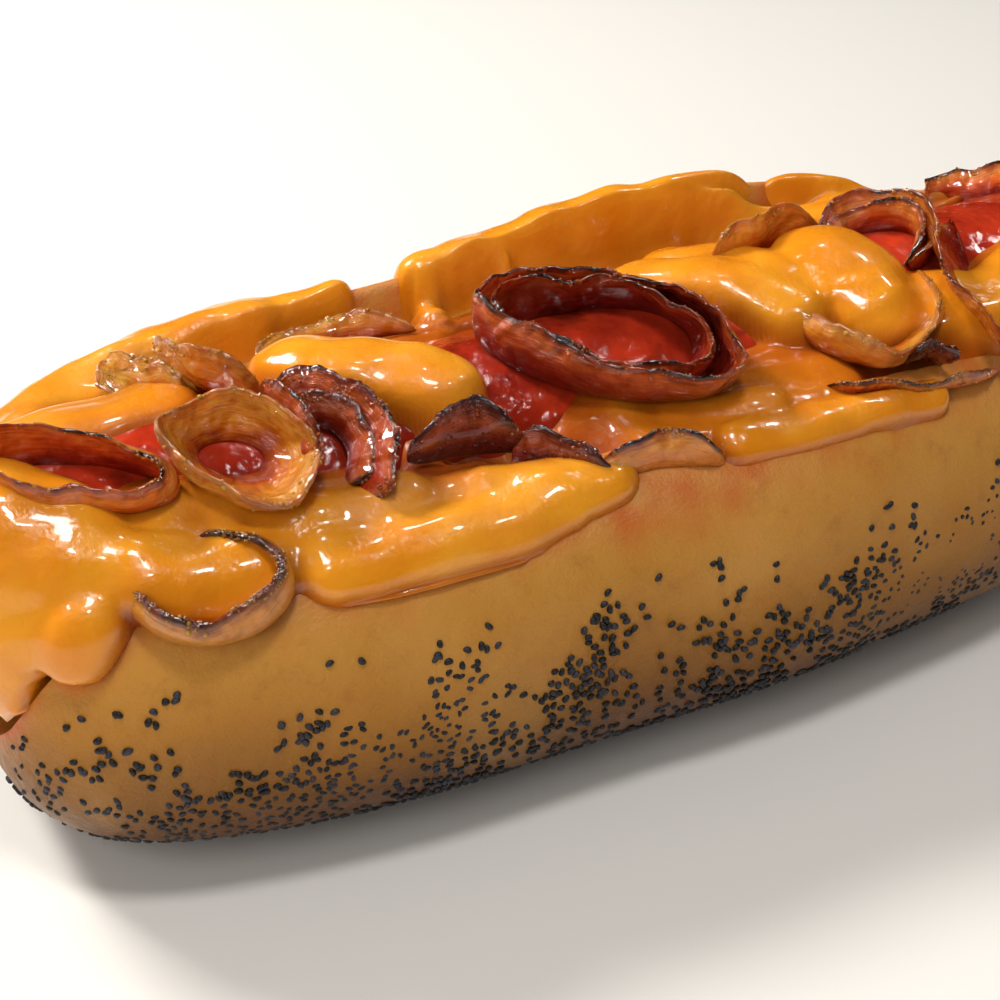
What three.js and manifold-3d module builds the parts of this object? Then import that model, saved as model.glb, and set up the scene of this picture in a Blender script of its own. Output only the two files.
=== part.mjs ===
// A hot dog: a poppy-seed bun split along its top, a sausage in the channel,
// melted cheese poured over both and caramelised onion pieces on and in the cheese.
// Millimetres. +X runs along the bun, +Z is up, and the near side of the bun is at -Y.
// The origin is on the flat underside, below the middle of the sausage.
import * as THREE from 'three';
import { mergeVertices } from 'three/addons/utils/BufferGeometryUtils.js';
import Module from 'manifold-3d';

const wasm = await Module();
wasm.setup();

// Driving sizes of the bun
const BUN_LENGTH = 155;
const NEAR_HALF_WIDTH = 32;
const FAR_HALF_WIDTH = 34.5;
const NEAR_LIP_HEIGHT = 43.5;
const FAR_LIP_HEIGHT = 49;
const FAR_LIP_SWELL = 4.5;
const FAR_SWELL_X = 30;
const FAR_SWELL_REACH = 26;
const WAIST_HEIGHT = 20;
const UNDERSIDE_SINK = 1.06;
const SECTION_POWER = 2.7;
const WIDTH_TAPER_POWER = 3.4;
const HEIGHT_TAPER_POWER = 4;
const CHANNEL_FLOOR = 18;
const CHANNEL_WALL_RISE = 20;
const NEAR_CHANNEL_HALF_WIDTH = 18.5;
const FAR_CHANNEL_HALF_WIDTH = 20.5;
const LIP_ROUNDING = 5;

// Slow waves that a baked side has: how deep they are, and the length that sets each
const WAVE = 0.7;
const SIDE_WAVE_LENGTH = 19;
const LIP_WAVE_LENGTH = 17;
const SMALL_WAVE = 0.3;
const SMALL_WAVE_LENGTH = 7.3;

// Driving sizes of the sausage
const SAUSAGE_RADIUS = 14;
const SAUSAGE_HALF_LENGTH = 83;
const SAUSAGE_CORE = SAUSAGE_HALF_LENGTH - SAUSAGE_RADIUS;
const SAUSAGE_END_RISE = 1.5;
const SAUSAGE_SIDES = 18;
const SAUSAGE_CAP_ANGLES = [9, 30, 50, 70, 90];
const SAUSAGE_ROD_STEPS = 10;
const GAP = 0.3;
const AXIS_HEIGHT = CHANNEL_FLOOR + GAP + SAUSAGE_RADIUS;

// The rounded filling that levels the channel between the sausage and the lips
const MOUND_HALF_LENGTH = 60;
const MOUND_END = 14;
const MOUND_NEAR = 23;
const MOUND_FAR = 25;
const MOUND_HEIGHT = 12.5;
const SAUSAGE_JOIN = 6;
const MOUND_JOIN = 4;

// Onion pieces
const ONION_THICKNESS = 2.2;
const ONION_FOOT_LIFT = -0.8;
const ONION_GAP = 0.45;
const ONION_END_DROOP = 0.7;
const RING_STEPS = 16;
const STRIP_STEPS = 9;
const WRAP_RADIUS = 17;

// Poppy seeds
const SEED_COUNT = 60;
const SEED_HALF_LENGTH = 0.68;
const SEED_HALF_WIDTH = 0.5;
const SEED_LOWEST = 1.4;
const SEED_BAND = 27;
const SEED_SINK = 0.2;

// Cheese: how deep it lies where nothing is poured, and its grid
const BARE_DEPTH = -3.4;
const SHOULDER_RISE = 2.4;
const SHOULDER_ANGLES = [30, 50];
const WALL_DROP = 8;
const WALL_ANGLES = [74, 96];
const END_DROP = 6;
const END_X = [58, 74];
const POUR_EDGE = 1.6;
const EDGE_STEEPNESS = 4;
const CHEESE_EDGE_ANGLE = 126;
const CHEESE_CORE_RADIUS = 9;
const CHEESE_FLOOR_ANGLES = [150, 180, 210];
const CHEESE_CAP_STEPS = 6;
const CHEESE_CORE_STEPS = 25;
const CHEESE_ANGLE_STEPS = 26;

const radians = THREE.MathUtils.degToRad;
const degrees = THREE.MathUtils.radToDeg;
const clamp = THREE.MathUtils.clamp;
const smoothstep = THREE.MathUtils.smoothstep;

// The smaller of two values, with the corner between them rounded over a width k.
function smoothMin(a, b, k) {
  const h = clamp(0.5 + (0.5 * (b - a)) / k, 0, 1);
  return b * (1 - h) + a * h - k * h * (1 - h);
}

// Bun: half its width at x, uneven as a baked side is.
function halfWidth(x, far) {
  const base = far ? FAR_HALF_WIDTH : NEAR_HALF_WIDTH;
  return base + WAVE * Math.sin(x / SIDE_WAVE_LENGTH + 1) + SMALL_WAVE * Math.sin(x / SMALL_WAVE_LENGTH);
}

// Bun: height of the lip at x. The far lip swells to the right of the middle.
function lipHeight(x, far) {
  if (far) return FAR_LIP_HEIGHT + FAR_LIP_SWELL * Math.exp(-(((x - FAR_SWELL_X) / FAR_SWELL_REACH) ** 2));
  return NEAR_LIP_HEIGHT + WAVE * Math.sin(x / LIP_WAVE_LENGTH + 0.5);
}

// Bun: the open channel, a flat floor that curves up into the two walls.
function channelHeight(y, far) {
  const reachY = far ? FAR_CHANNEL_HALF_WIDTH : NEAR_CHANNEL_HALF_WIDTH;
  return CHANNEL_FLOOR + CHANNEL_WALL_RISE * (Math.abs(y) / reachY) ** 4;
}

// Bun: how its width and its height shrink towards the rounded ends.
function endTaper(x) {
  const u = clamp(Math.abs(x) / (BUN_LENGTH / 2), 0, 1);
  return {
    width: (1 - u ** WIDTH_TAPER_POWER) ** (1 / WIDTH_TAPER_POWER),
    height: (1 - u ** HEIGHT_TAPER_POWER) ** (1 / HEIGHT_TAPER_POWER),
  };
}

// Bun: half the height of the section above or below the waist.
function halfHeight(x, far, below) {
  return below ? WAIST_HEIGHT * UNDERSIDE_SINK : lipHeight(x, far) - WAIST_HEIGHT;
}

// A point of the bun's skin: t runs from -90 degrees under the bun, up the side wall,
// to 90 degrees on the channel floor. The section is a superellipse cut by the channel.
function bunPoint(x, t, side) {
  const far = side > 0;
  const taper = endTaper(x);
  const power = 2 / SECTION_POWER;
  const y = halfWidth(x, far) * taper.width * Math.abs(Math.cos(t)) ** power;
  const lift = Math.sign(Math.sin(t)) * Math.abs(Math.sin(t)) ** power;
  const outer = WAIST_HEIGHT + halfHeight(x, far, lift < 0) * lift * taper.height;
  const z = smoothMin(outer, channelHeight(y, far), LIP_ROUNDING);
  return new THREE.Vector3(x, side * y, Math.max(z, 0));
}

// Rough distance outside the bun, negative within its dough.
function bunField(p) {
  const far = p.y > 0;
  const taper = endTaper(p.x);
  const wide = Math.max(halfWidth(p.x, far) * taper.width, 1);
  const dz = p.z - WAIST_HEIGHT;
  const tall = halfHeight(p.x, far, dz < 0) * Math.max(taper.height, 0.05);
  const across = Math.abs(p.y) / wide;
  const up = Math.abs(dz) / tall;
  const r = (across ** SECTION_POWER + up ** SECTION_POWER + 1e-9) ** (1 / SECTION_POWER);
  let outside = Math.hypot(p.y, dz) * (1 - 1 / Math.max(r, 1e-3));
  if (Math.abs(p.x) > BUN_LENGTH / 2 - 0.5) {
    outside = Math.max(outside, Math.abs(p.x) - BUN_LENGTH / 2);
  }
  const reachY = far ? FAR_CHANNEL_HALF_WIDTH : NEAR_CHANNEL_HALF_WIDTH;
  const slope = (4 * CHANNEL_WALL_RISE * Math.abs(p.y) ** 3) / reachY ** 4;
  const above = (p.z - channelHeight(p.y, far)) / Math.hypot(1, slope);
  return -smoothMin(-outside, -above, LIP_ROUNDING);
}

// Height of the sausage's centre line, which rises a little to both ends.
function sausageAxis(x) {
  return AXIS_HEIGHT + SAUSAGE_END_RISE * (clamp(x, -SAUSAGE_CORE, SAUSAGE_CORE) / SAUSAGE_HALF_LENGTH) ** 2;
}

// Distance outside the sausage, a rounded rod.
function sausageField(p) {
  const x = clamp(p.x, -SAUSAGE_CORE, SAUSAGE_CORE);
  return Math.hypot(p.x - x, p.y, p.z - sausageAxis(x)) - SAUSAGE_RADIUS;
}

// Rough distance outside the mound of filling.
function moundField(p) {
  const x = clamp(p.x, -MOUND_HALF_LENGTH, MOUND_HALF_LENGTH);
  const along = (p.x - x) / MOUND_END;
  const across = p.y / (p.y > 0 ? MOUND_FAR : MOUND_NEAR);
  const up = (p.z - AXIS_HEIGHT) / MOUND_HEIGHT;
  const r = Math.sqrt(along ** 2 + across ** 2 + up ** 2 + 1e-9);
  return ((r - 1) * Math.hypot(p.x - x, p.y, p.z - AXIS_HEIGHT)) / r;
}

// Rough distance outside bun, sausage and filling together.
function foodField(p) {
  const carried = smoothMin(bunField(p), sausageField(p), SAUSAGE_JOIN);
  return smoothMin(carried, moundField(p), MOUND_JOIN);
}

// Where a ray from inside the food leaves the surface that lies `lift` outside it: the
// ray is marched outwards to its first crossing, which is then halved many times.
function leave(origin, direction, lift) {
  const firstStep = 4;
  const marchStep = 1.5;
  const farthest = 60;
  const halvings = 14;
  const level = typeof lift === 'function' ? lift : () => lift;
  const at = (r) => origin.clone().addScaledVector(direction, r);
  let inside = 0;
  let outside = firstStep;
  while (outside < farthest && foodField(at(outside)) < level(at(outside))) {
    inside = outside;
    outside += marchStep;
  }
  for (let i = 0; i < halvings; i += 1) {
    const middle = (inside + outside) / 2;
    if (foodField(at(middle)) < level(at(middle))) inside = middle;
    else outside = middle;
  }
  return at((inside + outside) / 2);
}

// A point on the food at x, `angle` degrees round the sausage's axis from straight up,
// negative towards the near side, raised by `lift`.
function onFood(x, angle, lift) {
  const a = radians(angle);
  const origin = new THREE.Vector3(x, 0, AXIS_HEIGHT);
  return leave(origin, new THREE.Vector3(0, Math.sin(a), Math.cos(a)), lift);
}

// A solid from loops of points: neighbouring loops are joined by faces, and the ends are
// closed by fans, or the last loop meets the first.
function loopSolid(loops, joined = false) {
  const positions = [];
  const count = loops[0].length;
  loops.flat().forEach((p) => positions.push(p.x, p.y, p.z));
  const faces = [];
  const last = joined ? loops.length : loops.length - 1;
  for (let i = 0; i < last; i += 1) {
    const next = (i + 1) % loops.length;
    for (let j = 0; j < count; j += 1) {
      const k = (j + 1) % count;
      faces.push(i * count + j, next * count + j, next * count + k);
      faces.push(i * count + j, next * count + k, i * count + k);
    }
  }
  if (!joined) {
    [0, loops.length - 1].forEach((row, end) => {
      const centre = new THREE.Vector3();
      loops[row].forEach((p) => centre.addScaledVector(p, 1 / count));
      const pole = positions.length / 3;
      positions.push(centre.x, centre.y, centre.z);
      for (let j = 0; j < count; j += 1) {
        const a = row * count + j;
        const b = row * count + ((j + 1) % count);
        faces.push(...(end ? [b, a, pole] : [a, b, pole]));
      }
    });
  }
  return outward(new Float32Array(positions), new Uint32Array(faces));
}

// A manifold solid from vertices and faces, turned so that its faces point outwards.
function outward(positions, faces) {
  let volume = 0;
  const corner = (i) => new THREE.Vector3().fromArray(positions, 3 * faces[i]);
  for (let i = 0; i < faces.length; i += 3) {
    volume += corner(i).dot(corner(i + 1).cross(corner(i + 2)));
  }
  if (volume < 0) faces.reverse();
  const mesh = { numProp: 3, vertProperties: positions, triVerts: faces };
  return new wasm.Manifold(new wasm.Mesh(mesh));
}

// The side angles of the bun's section, closer together where it curves most.
const SECTION_ANGLES = [-90, -70, -48, -26, -4, 18, 34, 45, 53, 60, 67, 75, 83];

function bunSolid(gap) {
  const stations = 30;
  const loops = [];
  for (let i = 1; i < stations; i += 1) {
    const x = (BUN_LENGTH / 2) * Math.sin(radians(-90 + (180 * i) / stations));
    const near = SECTION_ANGLES.map((t) => bunPoint(x, radians(t), -1));
    const far = SECTION_ANGLES.slice(1).map((t) => bunPoint(x, radians(t), 1)).reverse();
    const loop = [...near, bunPoint(x, radians(90), -1), ...far];
    loops.push(gap ? pushedOut(loop, gap) : loop);
  }
  if (gap) {
    loops[0].forEach((p) => { p.x -= gap; });
    loops[loops.length - 1].forEach((p) => { p.x += gap; });
  }
  return loopSolid(loops);
}

// The loop moved outwards by a gap, each point along the bisector of its two edges, and
// a little more, because chords lie inside the curve.
function pushedOut(loop, gap) {
  const chordAllowance = 1.15;
  return loop.map((p, i) => {
    const before = loop[(i + loop.length - 1) % loop.length];
    const after = loop[(i + 1) % loop.length];
    const along = new THREE.Vector3().subVectors(after, before);
    const out = new THREE.Vector3(0, -along.z, along.y).normalize();
    return p.clone().addScaledVector(out, gap * chordAllowance);
  });
}

// The sausage, or the room round it where a gap is given.
function sausageSolid(gap) {
  const radius = SAUSAGE_RADIUS + gap;
  const cap = SAUSAGE_CAP_ANGLES.map((angle) => {
    const a = radians(angle);
    return { x: SAUSAGE_CORE + radius * Math.cos(a), r: radius * Math.sin(a) };
  });
  const stations = cap.map(({ x, r }) => ({ x: -x, r }));
  for (let i = 1; i < SAUSAGE_ROD_STEPS; i += 1) {
    stations.push({ x: -SAUSAGE_CORE + (2 * SAUSAGE_CORE * i) / SAUSAGE_ROD_STEPS, r: radius });
  }
  stations.push(...cap.reverse());
  const loops = stations.map(({ x, r }) => Array.from({ length: SAUSAGE_SIDES }, (_, j) => {
    const a = (2 * Math.PI * j) / SAUSAGE_SIDES;
    return new THREE.Vector3(x, r * Math.sin(a), sausageAxis(x) + r * Math.cos(a));
  }));
  return loopSolid(loops);
}

// One seed on the bun's outer wall at x and height z, turned by `spin` about its normal.
function seedSolid(x, z, side, spin) {
  const below = z < WAIST_HEIGHT;
  const tall = halfHeight(x, side > 0, below) * endTaper(x).height;
  const lift = clamp((z - WAIST_HEIGHT) / tall, -0.9, 0.9);
  const t = Math.sign(lift) * Math.asin(Math.abs(lift) ** (SECTION_POWER / 2));
  const step = 0.02;
  const p = bunPoint(x, t, side);
  const up = bunPoint(x, t + step, side).sub(bunPoint(x, t - step, side));
  const along = bunPoint(x + step, t, side).sub(bunPoint(x - step, t, side));
  const normal = up.cross(along).normalize();
  if (normal.y * side < 0) normal.negate();
  const lean = new THREE.Quaternion().setFromUnitVectors(new THREE.Vector3(0, 0, 1), normal);
  const place = new THREE.Matrix4().makeRotationZ(spin);
  place.premultiply(new THREE.Matrix4().makeRotationFromQuaternion(lean));
  place.scale(new THREE.Vector3(SEED_HALF_LENGTH, SEED_HALF_WIDTH, SEED_HALF_WIDTH));
  place.setPosition(p.addScaledVector(normal, -SEED_SINK));
  const seed = new THREE.IcosahedronGeometry(1, 0).applyMatrix4(place);
  seed.deleteAttribute('normal');
  seed.deleteAttribute('uv');
  const merged = mergeVertices(seed);
  return outward(merged.attributes.position.array, new Uint32Array(merged.index.array));
}

// Poppy seeds on the bun's outer wall, thick near the base and sparse above, in clusters.
function withSeeds(bun) {
  let state = 20260;
  const random = () => {
    state = (state * 1664525 + 1013904223) % 4294967296;
    return state / 4294967296;
  };
  let seeded = bun;
  let placed = 0;
  while (placed < SEED_COUNT) {
    const x = (random() - 0.5) * (BUN_LENGTH - 6);
    const side = placed % 2 ? 1 : -1;
    const z = SEED_LOWEST + SEED_BAND * random() ** 1.7;
    const cluster = 0.55 + 0.45 * Math.sin(x / 5.3 + side) * Math.sin(x / 2.9 + z / 2.3);
    if (random() > cluster) continue;
    seeded = seeded.add(seedSolid(x, z, side, random() * Math.PI));
    placed += 1;
  }
  return seeded;
}

// Onion pieces. Each is a band between a foot line on the food and a rim line above it.
// Both lines are arcs of ellipses laid round the food, as [x, w, long, wide]: x along the
// bun, w the distance round it from the top, negative on the near side, then the two half
// axes. They are turned by `turn` and drawn from the angle `from` over `sweep` degrees.
const ONIONS = [
  { name: 'onion_ring_big', foot: [1, -5, 14.5, 10], rim: [0, -6, 14.5, 7],
    turn: -36, from: 180, sweep: 360, lift: 6 },
  { name: 'onion_ring_front', foot: [-47, -9, 4, 3], rim: [-47, -10, 8.2, 5.8],
    turn: -31, from: 180, sweep: 360, lift: 5 },
  { name: 'onion_boat', foot: [-64, -7.5, 10.4, 3.6], rim: [-65.5, -7, 10, 3],
    turn: -27, from: 180, sweep: 360, lift: 5.5 },
  { name: 'onion_cup', foot: [-55, -22, 8, 3.6], rim: [-56, -20, 7.4, 2.8],
    turn: -2, from: 172, sweep: 270, lift: 4 },
  { name: 'onion_ring_top', foot: [45, -1, 7, 7], rim: [43, -1, 8, 6.5],
    turn: -20, from: 150, sweep: -215, lift: 5 },
  { name: 'onion_ring_right', foot: [36, -12, 10, 6], rim: [35, -10, 9.5, 7.5],
    turn: 17, from: 160, sweep: 190, lift: 4.5 },
  { name: 'onion_ring_back', foot: [-38, -12, 5, 6.5], rim: [-40, -11, 10, 8.6],
    turn: -16, from: 115, sweep: -160, lift: 5.4 },
  { name: 'onion_ring_middle', foot: [-53, -12, 13, 22.6], rim: [-55, -12, 15.2, 19.1],
    turn: -9, from: 38, sweep: -40, lift: 6.5 },
  { name: 'onion_curl_far', foot: [-49, 8, 4, 6.5], rim: [-51, 8, 4.5, 7],
    turn: 13, from: 150, sweep: -170, lift: 5 },
  { name: 'onion_strip_far', foot: [-41, 10, 3, 11], rim: [-39, 7, 8.6, 9.8],
    turn: 11, from: 126, sweep: 119, lift: 6.6 },
  { name: 'onion_strip_lip_far', foot: [-25, 14.5, 11, 3.5], rim: [-26, 12.5, 10.5, 4],
    turn: 2, from: 165, sweep: -150, lift: 3.2 },
  { name: 'onion_hood', foot: [-22, -19.5, 13.8, 2.5], rim: [-24, -28, 12, 16.5],
    turn: -8, from: 122, sweep: -66, lift: 5.5 },
  { name: 'onion_hood_tail', foot: [-24, -27, 21, 7.5], rim: [-21, -30, 17.4, 15],
    turn: 0, from: 74, sweep: -36, lift: 3.6 },
  { name: 'onion_lip_ring', foot: [-3, -24, 14, 1.8], rim: [-3, -31, 13.5, 12.2],
    turn: -2, from: 120, sweep: -68, lift: 4.4 },
  { name: 'onion_strip_lip', foot: [39, -16, 25, 6.2], rim: [36, -19, 26, 2],
    turn: -6, from: 238, sweep: 56, lift: 2.6 },
  { name: 'onion_knot_right', foot: [37, -21, 3.6, 1.9], rim: [36, -21, 3.8, 3.3],
    turn: -4, from: 140, sweep: -125, lift: 4.7 },
  { name: 'onion_strand_top', foot: [41, -14, 27, 25.4], rim: [35, 1, 22.8, 2.5],
    turn: 1, from: 131, sweep: -50, lift: 6.4 },
  { name: 'onion_drape_right', foot: [60, -7, 5.2, 14.4], rim: [53, -12, 7.7, 10.8],
    turn: -22, from: 143, sweep: 112, lift: 6 },
  { name: 'onion_end_far', foot: [66, 6, 6, 9], rim: [66, 5, 6, 8],
    turn: 20, from: 120, sweep: -190, lift: 3.4 },
];

// A point of an onion's line: f runs from 0 to 1 along the arc.
function arcPoint([x, w, long, wide], onion, f, lift) {
  const a = radians(onion.from + onion.sweep * f);
  const turn = radians(onion.turn);
  const u = long * Math.cos(a);
  const v = wide * Math.sin(a);
  const along = x + u * Math.cos(turn) - v * Math.sin(turn);
  const round = w + u * Math.sin(turn) + v * Math.cos(turn);
  return onFood(along, degrees(round / WRAP_RADIUS), lift);
}

// The band of one onion piece, as loops of points round its section, or the room round
// it where a gap is given. The rim of an open piece droops towards its two ends.
function onionSolid(onion, gap) {
  const closed = Math.abs(onion.sweep) === 360;
  const steps = closed ? RING_STEPS : STRIP_STEPS;
  const half = ONION_THICKNESS / 2 + gap;
  const rows = [];
  for (let i = 0; i < (closed ? steps : steps + 1); i += 1) {
    const f = i / steps;
    const droop = closed ? 1 : 1 - ONION_END_DROOP * Math.abs(2 * f - 1) ** 4;
    const foot = arcPoint(onion.foot, onion, f, ONION_FOOT_LIFT);
    const rim = arcPoint(onion.rim, onion, f, onion.lift * droop);
    const rise = rim.clone().sub(foot);
    const length = rise.length();
    rise.normalize();
    foot.addScaledVector(rise, -gap);
    rows.push({ foot, rise, length: length + 2 * gap });
  }
  const loops = rows.map((row, i) => {
    const before = rows[closed ? (i + rows.length - 1) % rows.length : Math.max(i - 1, 0)];
    const after = rows[closed ? (i + 1) % rows.length : Math.min(i + 1, rows.length - 1)];
    const along = after.foot.clone().addScaledVector(after.rise, after.length / 2);
    along.sub(before.foot).addScaledVector(before.rise, -before.length / 2).normalize();
    const normal = along.clone().cross(row.rise).normalize();
    const end = closed || (i > 0 && i < rows.length - 1) ? 0 : (i ? gap : -gap);
    const foot = row.foot.clone().addScaledVector(along, end);
    const rim = foot.clone().addScaledVector(row.rise, row.length);
    const side = normal.multiplyScalar(half);
    return [foot.clone().sub(side), rim.clone().sub(side), rim.clone().add(side), foot.clone().add(side)];
  });
  return loopSolid(loops, closed);
}

// Pours of cheese: a line on the food as [x, angle] points, the half width and the depth.
const POURS = [
  { name: 'near_end_dome', half: 8.5, deep: 4.6, line: [[-74, -30], [-70, -42], [-66, -54]] },
  { name: 'near_end_fold', half: 5, deep: 3.4, line: [[-67, -60], [-62, -68], [-57, -72]] },
  { name: 'near_end_run', half: 7, deep: 3.5, line: [[-72, -48], [-74, -70], [-75, -98], [-75, -112]] },
  { name: 'drip_neck', half: 4, deep: 3, line: [[-64, -66], [-66, -74]] },
  { name: 'drip', half: 4.8, deep: 4.6, line: [[-67, -76], [-69, -85]] },
  { name: 'cup_fill', half: 5, deep: 2.2, line: [[-59, -68], [-54, -71], [-50, -71]] },
  { name: 'near_lobe_low', half: 4.2, deep: 3.2,
    line: [[-42, -75], [-35, -76], [-29, -76], [-21, -76], [-15, -74]] },
  { name: 'near_lobe_high', half: 4, deep: 2.8, line: [[-23, -66], [-16, -67], [-10, -71], [-7, -74]] },
  { name: 'near_trough', half: 6, deep: 1.6,
    line: [[-57, -53], [-49, -61], [-43, -65], [-36, -66], [-26, -66]] },
  { name: 'near_tongue', half: 4.2, deep: 3, line: [[7, -72], [15, -73], [24, -73], [34, -75]] },
  { name: 'middle_trough', half: 5.5, deep: 1.2,
    line: [[-8, -46], [-3, -58], [4, -62], [10, -65], [24, -66]] },
  { name: 'dollop', half: 5.4, deep: 4.4, line: [[-34, 26], [-30, 8], [-25, -10], [-21, -24]] },
  { name: 'far_left', half: 7.5, deep: 3, line: [[-68, 38], [-56, 50], [-42, 58], [-30, 62], [-18, 63]] },
  { name: 'far_left_skin', half: 6, deep: 1.6, line: [[-72, 14], [-62, 20], [-52, 26]] },
  { name: 'far_ribbon', half: 7.2, deep: 3.2,
    line: [[-14, 63], [-3, 62], [10, 60], [22, 58], [34, 58]] },
  { name: 'far_spill_left', half: 7, deep: 2.6, line: [[-46, 60], [-45, 70], [-46, 82]] },
  { name: 'far_spill_right', half: 6, deep: 2.6, line: [[14, 60], [15, 69], [13, 79]] },
  { name: 'right_tongue', half: 4.6, deep: 3.4, line: [[13, 24], [19, 6], [22, -14], [26, -32]] },
  { name: 'right_fold', half: 4.6, deep: 2.8, line: [[22, 50], [24, 30], [25, 8], [28, -12]] },
  { name: 'right_blob', half: 7, deep: 4.5, line: [[35, -4], [37, -24], [37, -42]] },
  { name: 'right_pool', half: 6, deep: 3, line: [[45, -50], [52, -56], [62, -46]] },
  { name: 'far_right', half: 6.5, deep: 2.6, line: [[42, 60], [52, 54], [62, 48]] },
].map((pour) => ({ ...pour, points: pour.line.map(([x, angle]) => onFood(x, angle, 0)) }));

// Hollows in the cheese, inside the onion pieces and where the sausage lies bare.
const HOLLOWS = [
  { name: 'in_boat', at: [-65, -20], radius: 7, drop: 3.5 },
  { name: 'in_ring_front', at: [-47, -33], radius: 5, drop: 3.5 },
  { name: 'behind_ring_front', at: [-45, -2], radius: 7, drop: 3 },
  { name: 'in_ring_back', at: [-33, -45], radius: 5.5, drop: 4 },
  { name: 'in_hood', at: [-19, -50], radius: 6, drop: 4 },
  { name: 'beside_dollop', at: [-11, -28], radius: 6, drop: 3 },
  { name: 'in_ring_big', at: [3, -12], radius: 10, drop: 3 },
  { name: 'under_ribbon_left', at: [-6, 36], radius: 7, drop: 3 },
  { name: 'under_ribbon_right', at: [8, 36], radius: 6, drop: 3 },
  { name: 'in_ring_top', at: [46, 10], radius: 6, drop: 3 },
].map((hollow) => ({ ...hollow, centre: onFood(...hollow.at, 0) }));

// Distance from p to a line of straight stretches.
function distanceToLine(p, points) {
  let near = Infinity;
  for (let i = 0; i + 1 < points.length; i += 1) {
    const edge = points[i + 1].clone().sub(points[i]);
    const f = clamp(p.clone().sub(points[i]).dot(edge) / edge.lengthSq(), 0, 1);
    near = Math.min(near, points[i].clone().addScaledVector(edge, f).distanceTo(p));
  }
  return near;
}

// How far the cheese stands above the food at p. Away from the pours it is sunk below the
// sausage's top and just fills the channel.
function cheeseDepth(p) {
  const angle = Math.abs(degrees(Math.atan2(p.y, p.z - AXIS_HEIGHT)));
  let depth = BARE_DEPTH + SHOULDER_RISE * smoothstep(angle, ...SHOULDER_ANGLES);
  depth -= WALL_DROP * smoothstep(angle, ...WALL_ANGLES);
  depth -= END_DROP * smoothstep(Math.abs(p.x), ...END_X);
  HOLLOWS.forEach(({ centre, radius, drop }) => {
    depth -= drop * (1 - smoothstep(centre.distanceTo(p) / radius, 0.5, 1.1));
  });
  POURS.forEach(({ points, half, deep }) => {
    const u = distanceToLine(p, points) / half;
    const edge = -EDGE_STEEPNESS * (u - 1) * deep;
    if (u < POUR_EDGE) depth = Math.max(depth, u < 1 ? deep * Math.sqrt(1 - u * u) : edge);
  });
  return depth;
}

// The whole cheese before the bun, sausage and onions are cut out of it: rays from the
// sausage's axis, fanned out round both ends, leave the food at the cheese's depth.
function cheeseSolid() {
  const core = MOUND_HALF_LENGTH;
  const rays = [];
  for (let i = 1; i <= CHEESE_CAP_STEPS; i += 1) {
    rays.push({ x: -core, tilt: -90 + (90 * i) / CHEESE_CAP_STEPS });
  }
  for (let i = 1; i < CHEESE_CORE_STEPS; i += 1) {
    rays.push({ x: -core + (2 * core * i) / CHEESE_CORE_STEPS, tilt: 0 });
  }
  for (let i = CHEESE_CAP_STEPS; i >= 1; i -= 1) {
    rays.push({ x: core, tilt: 90 - (90 * i) / CHEESE_CAP_STEPS });
  }
  const edge = CHEESE_EDGE_ANGLE;
  const angles = [];
  for (let i = 0; i <= CHEESE_ANGLE_STEPS; i += 1) angles.push(-edge + (2 * edge * i) / CHEESE_ANGLE_STEPS);
  angles.push(...CHEESE_FLOOR_ANGLES);
  const loops = rays.map(({ x, tilt }) => {
    const origin = new THREE.Vector3(x, 0, AXIS_HEIGHT);
    return angles.map((angle) => {
      const a = radians(angle);
      const c = Math.cos(radians(tilt));
      const direction = new THREE.Vector3(Math.sin(radians(tilt)), c * Math.sin(a), c * Math.cos(a));
      if (Math.abs(angle) > edge - 1) return origin.clone().addScaledVector(direction, CHEESE_CORE_RADIUS);
      return leave(origin, direction, cheeseDepth);
    });
  });
  return loopSolid(loops);
}

// The largest body of a solid: scraps that a cut leaves loose are dropped.
function largest(solid) {
  const bodies = solid.decompose();
  bodies.sort((a, b) => b.volume() - a.volume());
  return bodies[0];
}

function mesh(name, solid, color, roughness) {
  const { vertProperties, triVerts } = solid.getMesh();
  const geometry = new THREE.BufferGeometry();
  geometry.setAttribute('position', new THREE.BufferAttribute(new Float32Array(vertProperties), 3));
  geometry.setIndex(new THREE.BufferAttribute(new Uint32Array(triVerts), 1));
  geometry.computeVertexNormals();
  const material = new THREE.MeshStandardMaterial({ color, roughness, metalness: 0 });
  const piece = new THREE.Mesh(geometry, material);
  piece.name = name;
  return piece;
}

const hotDog = new THREE.Group();
const keepOffBun = bunSolid(GAP);
const keepOffSausage = sausageSolid(GAP);
hotDog.add(mesh('bun', largest(withSeeds(bunSolid(0))), 0xc89a5b, 0.55));
hotDog.add(mesh('sausage', sausageSolid(0), 0x7e1e16, 0.3));

let keepOffOnions = null;
ONIONS.forEach((onion) => {
  let piece = onionSolid(onion, 0).subtract(keepOffSausage).subtract(keepOffBun);
  if (keepOffOnions) piece = piece.subtract(keepOffOnions);
  hotDog.add(mesh(onion.name, largest(piece), 0xc86a38, 0.3));
  const shell = onionSolid(onion, ONION_GAP);
  keepOffOnions = keepOffOnions ? keepOffOnions.add(shell) : shell;
});

const cheese = cheeseSolid().subtract(keepOffBun).subtract(keepOffSausage).subtract(keepOffOnions);
hotDog.add(mesh('cheese_sauce', largest(cheese), 0xf0a032, 0.25));

export default hotDog;
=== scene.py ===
# %% [markdown]
# A hot dog in close-up: a poppy-seed bun, a grilled sausage, melted cheese sauce and
# caramelised onions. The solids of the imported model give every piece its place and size.
# Here each of them gets a fine surface and a finish. All shapes are worked out in
# millimetres with numpy, as functions of two parameters on a grid, and become metres
# only when the mesh is made.

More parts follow.
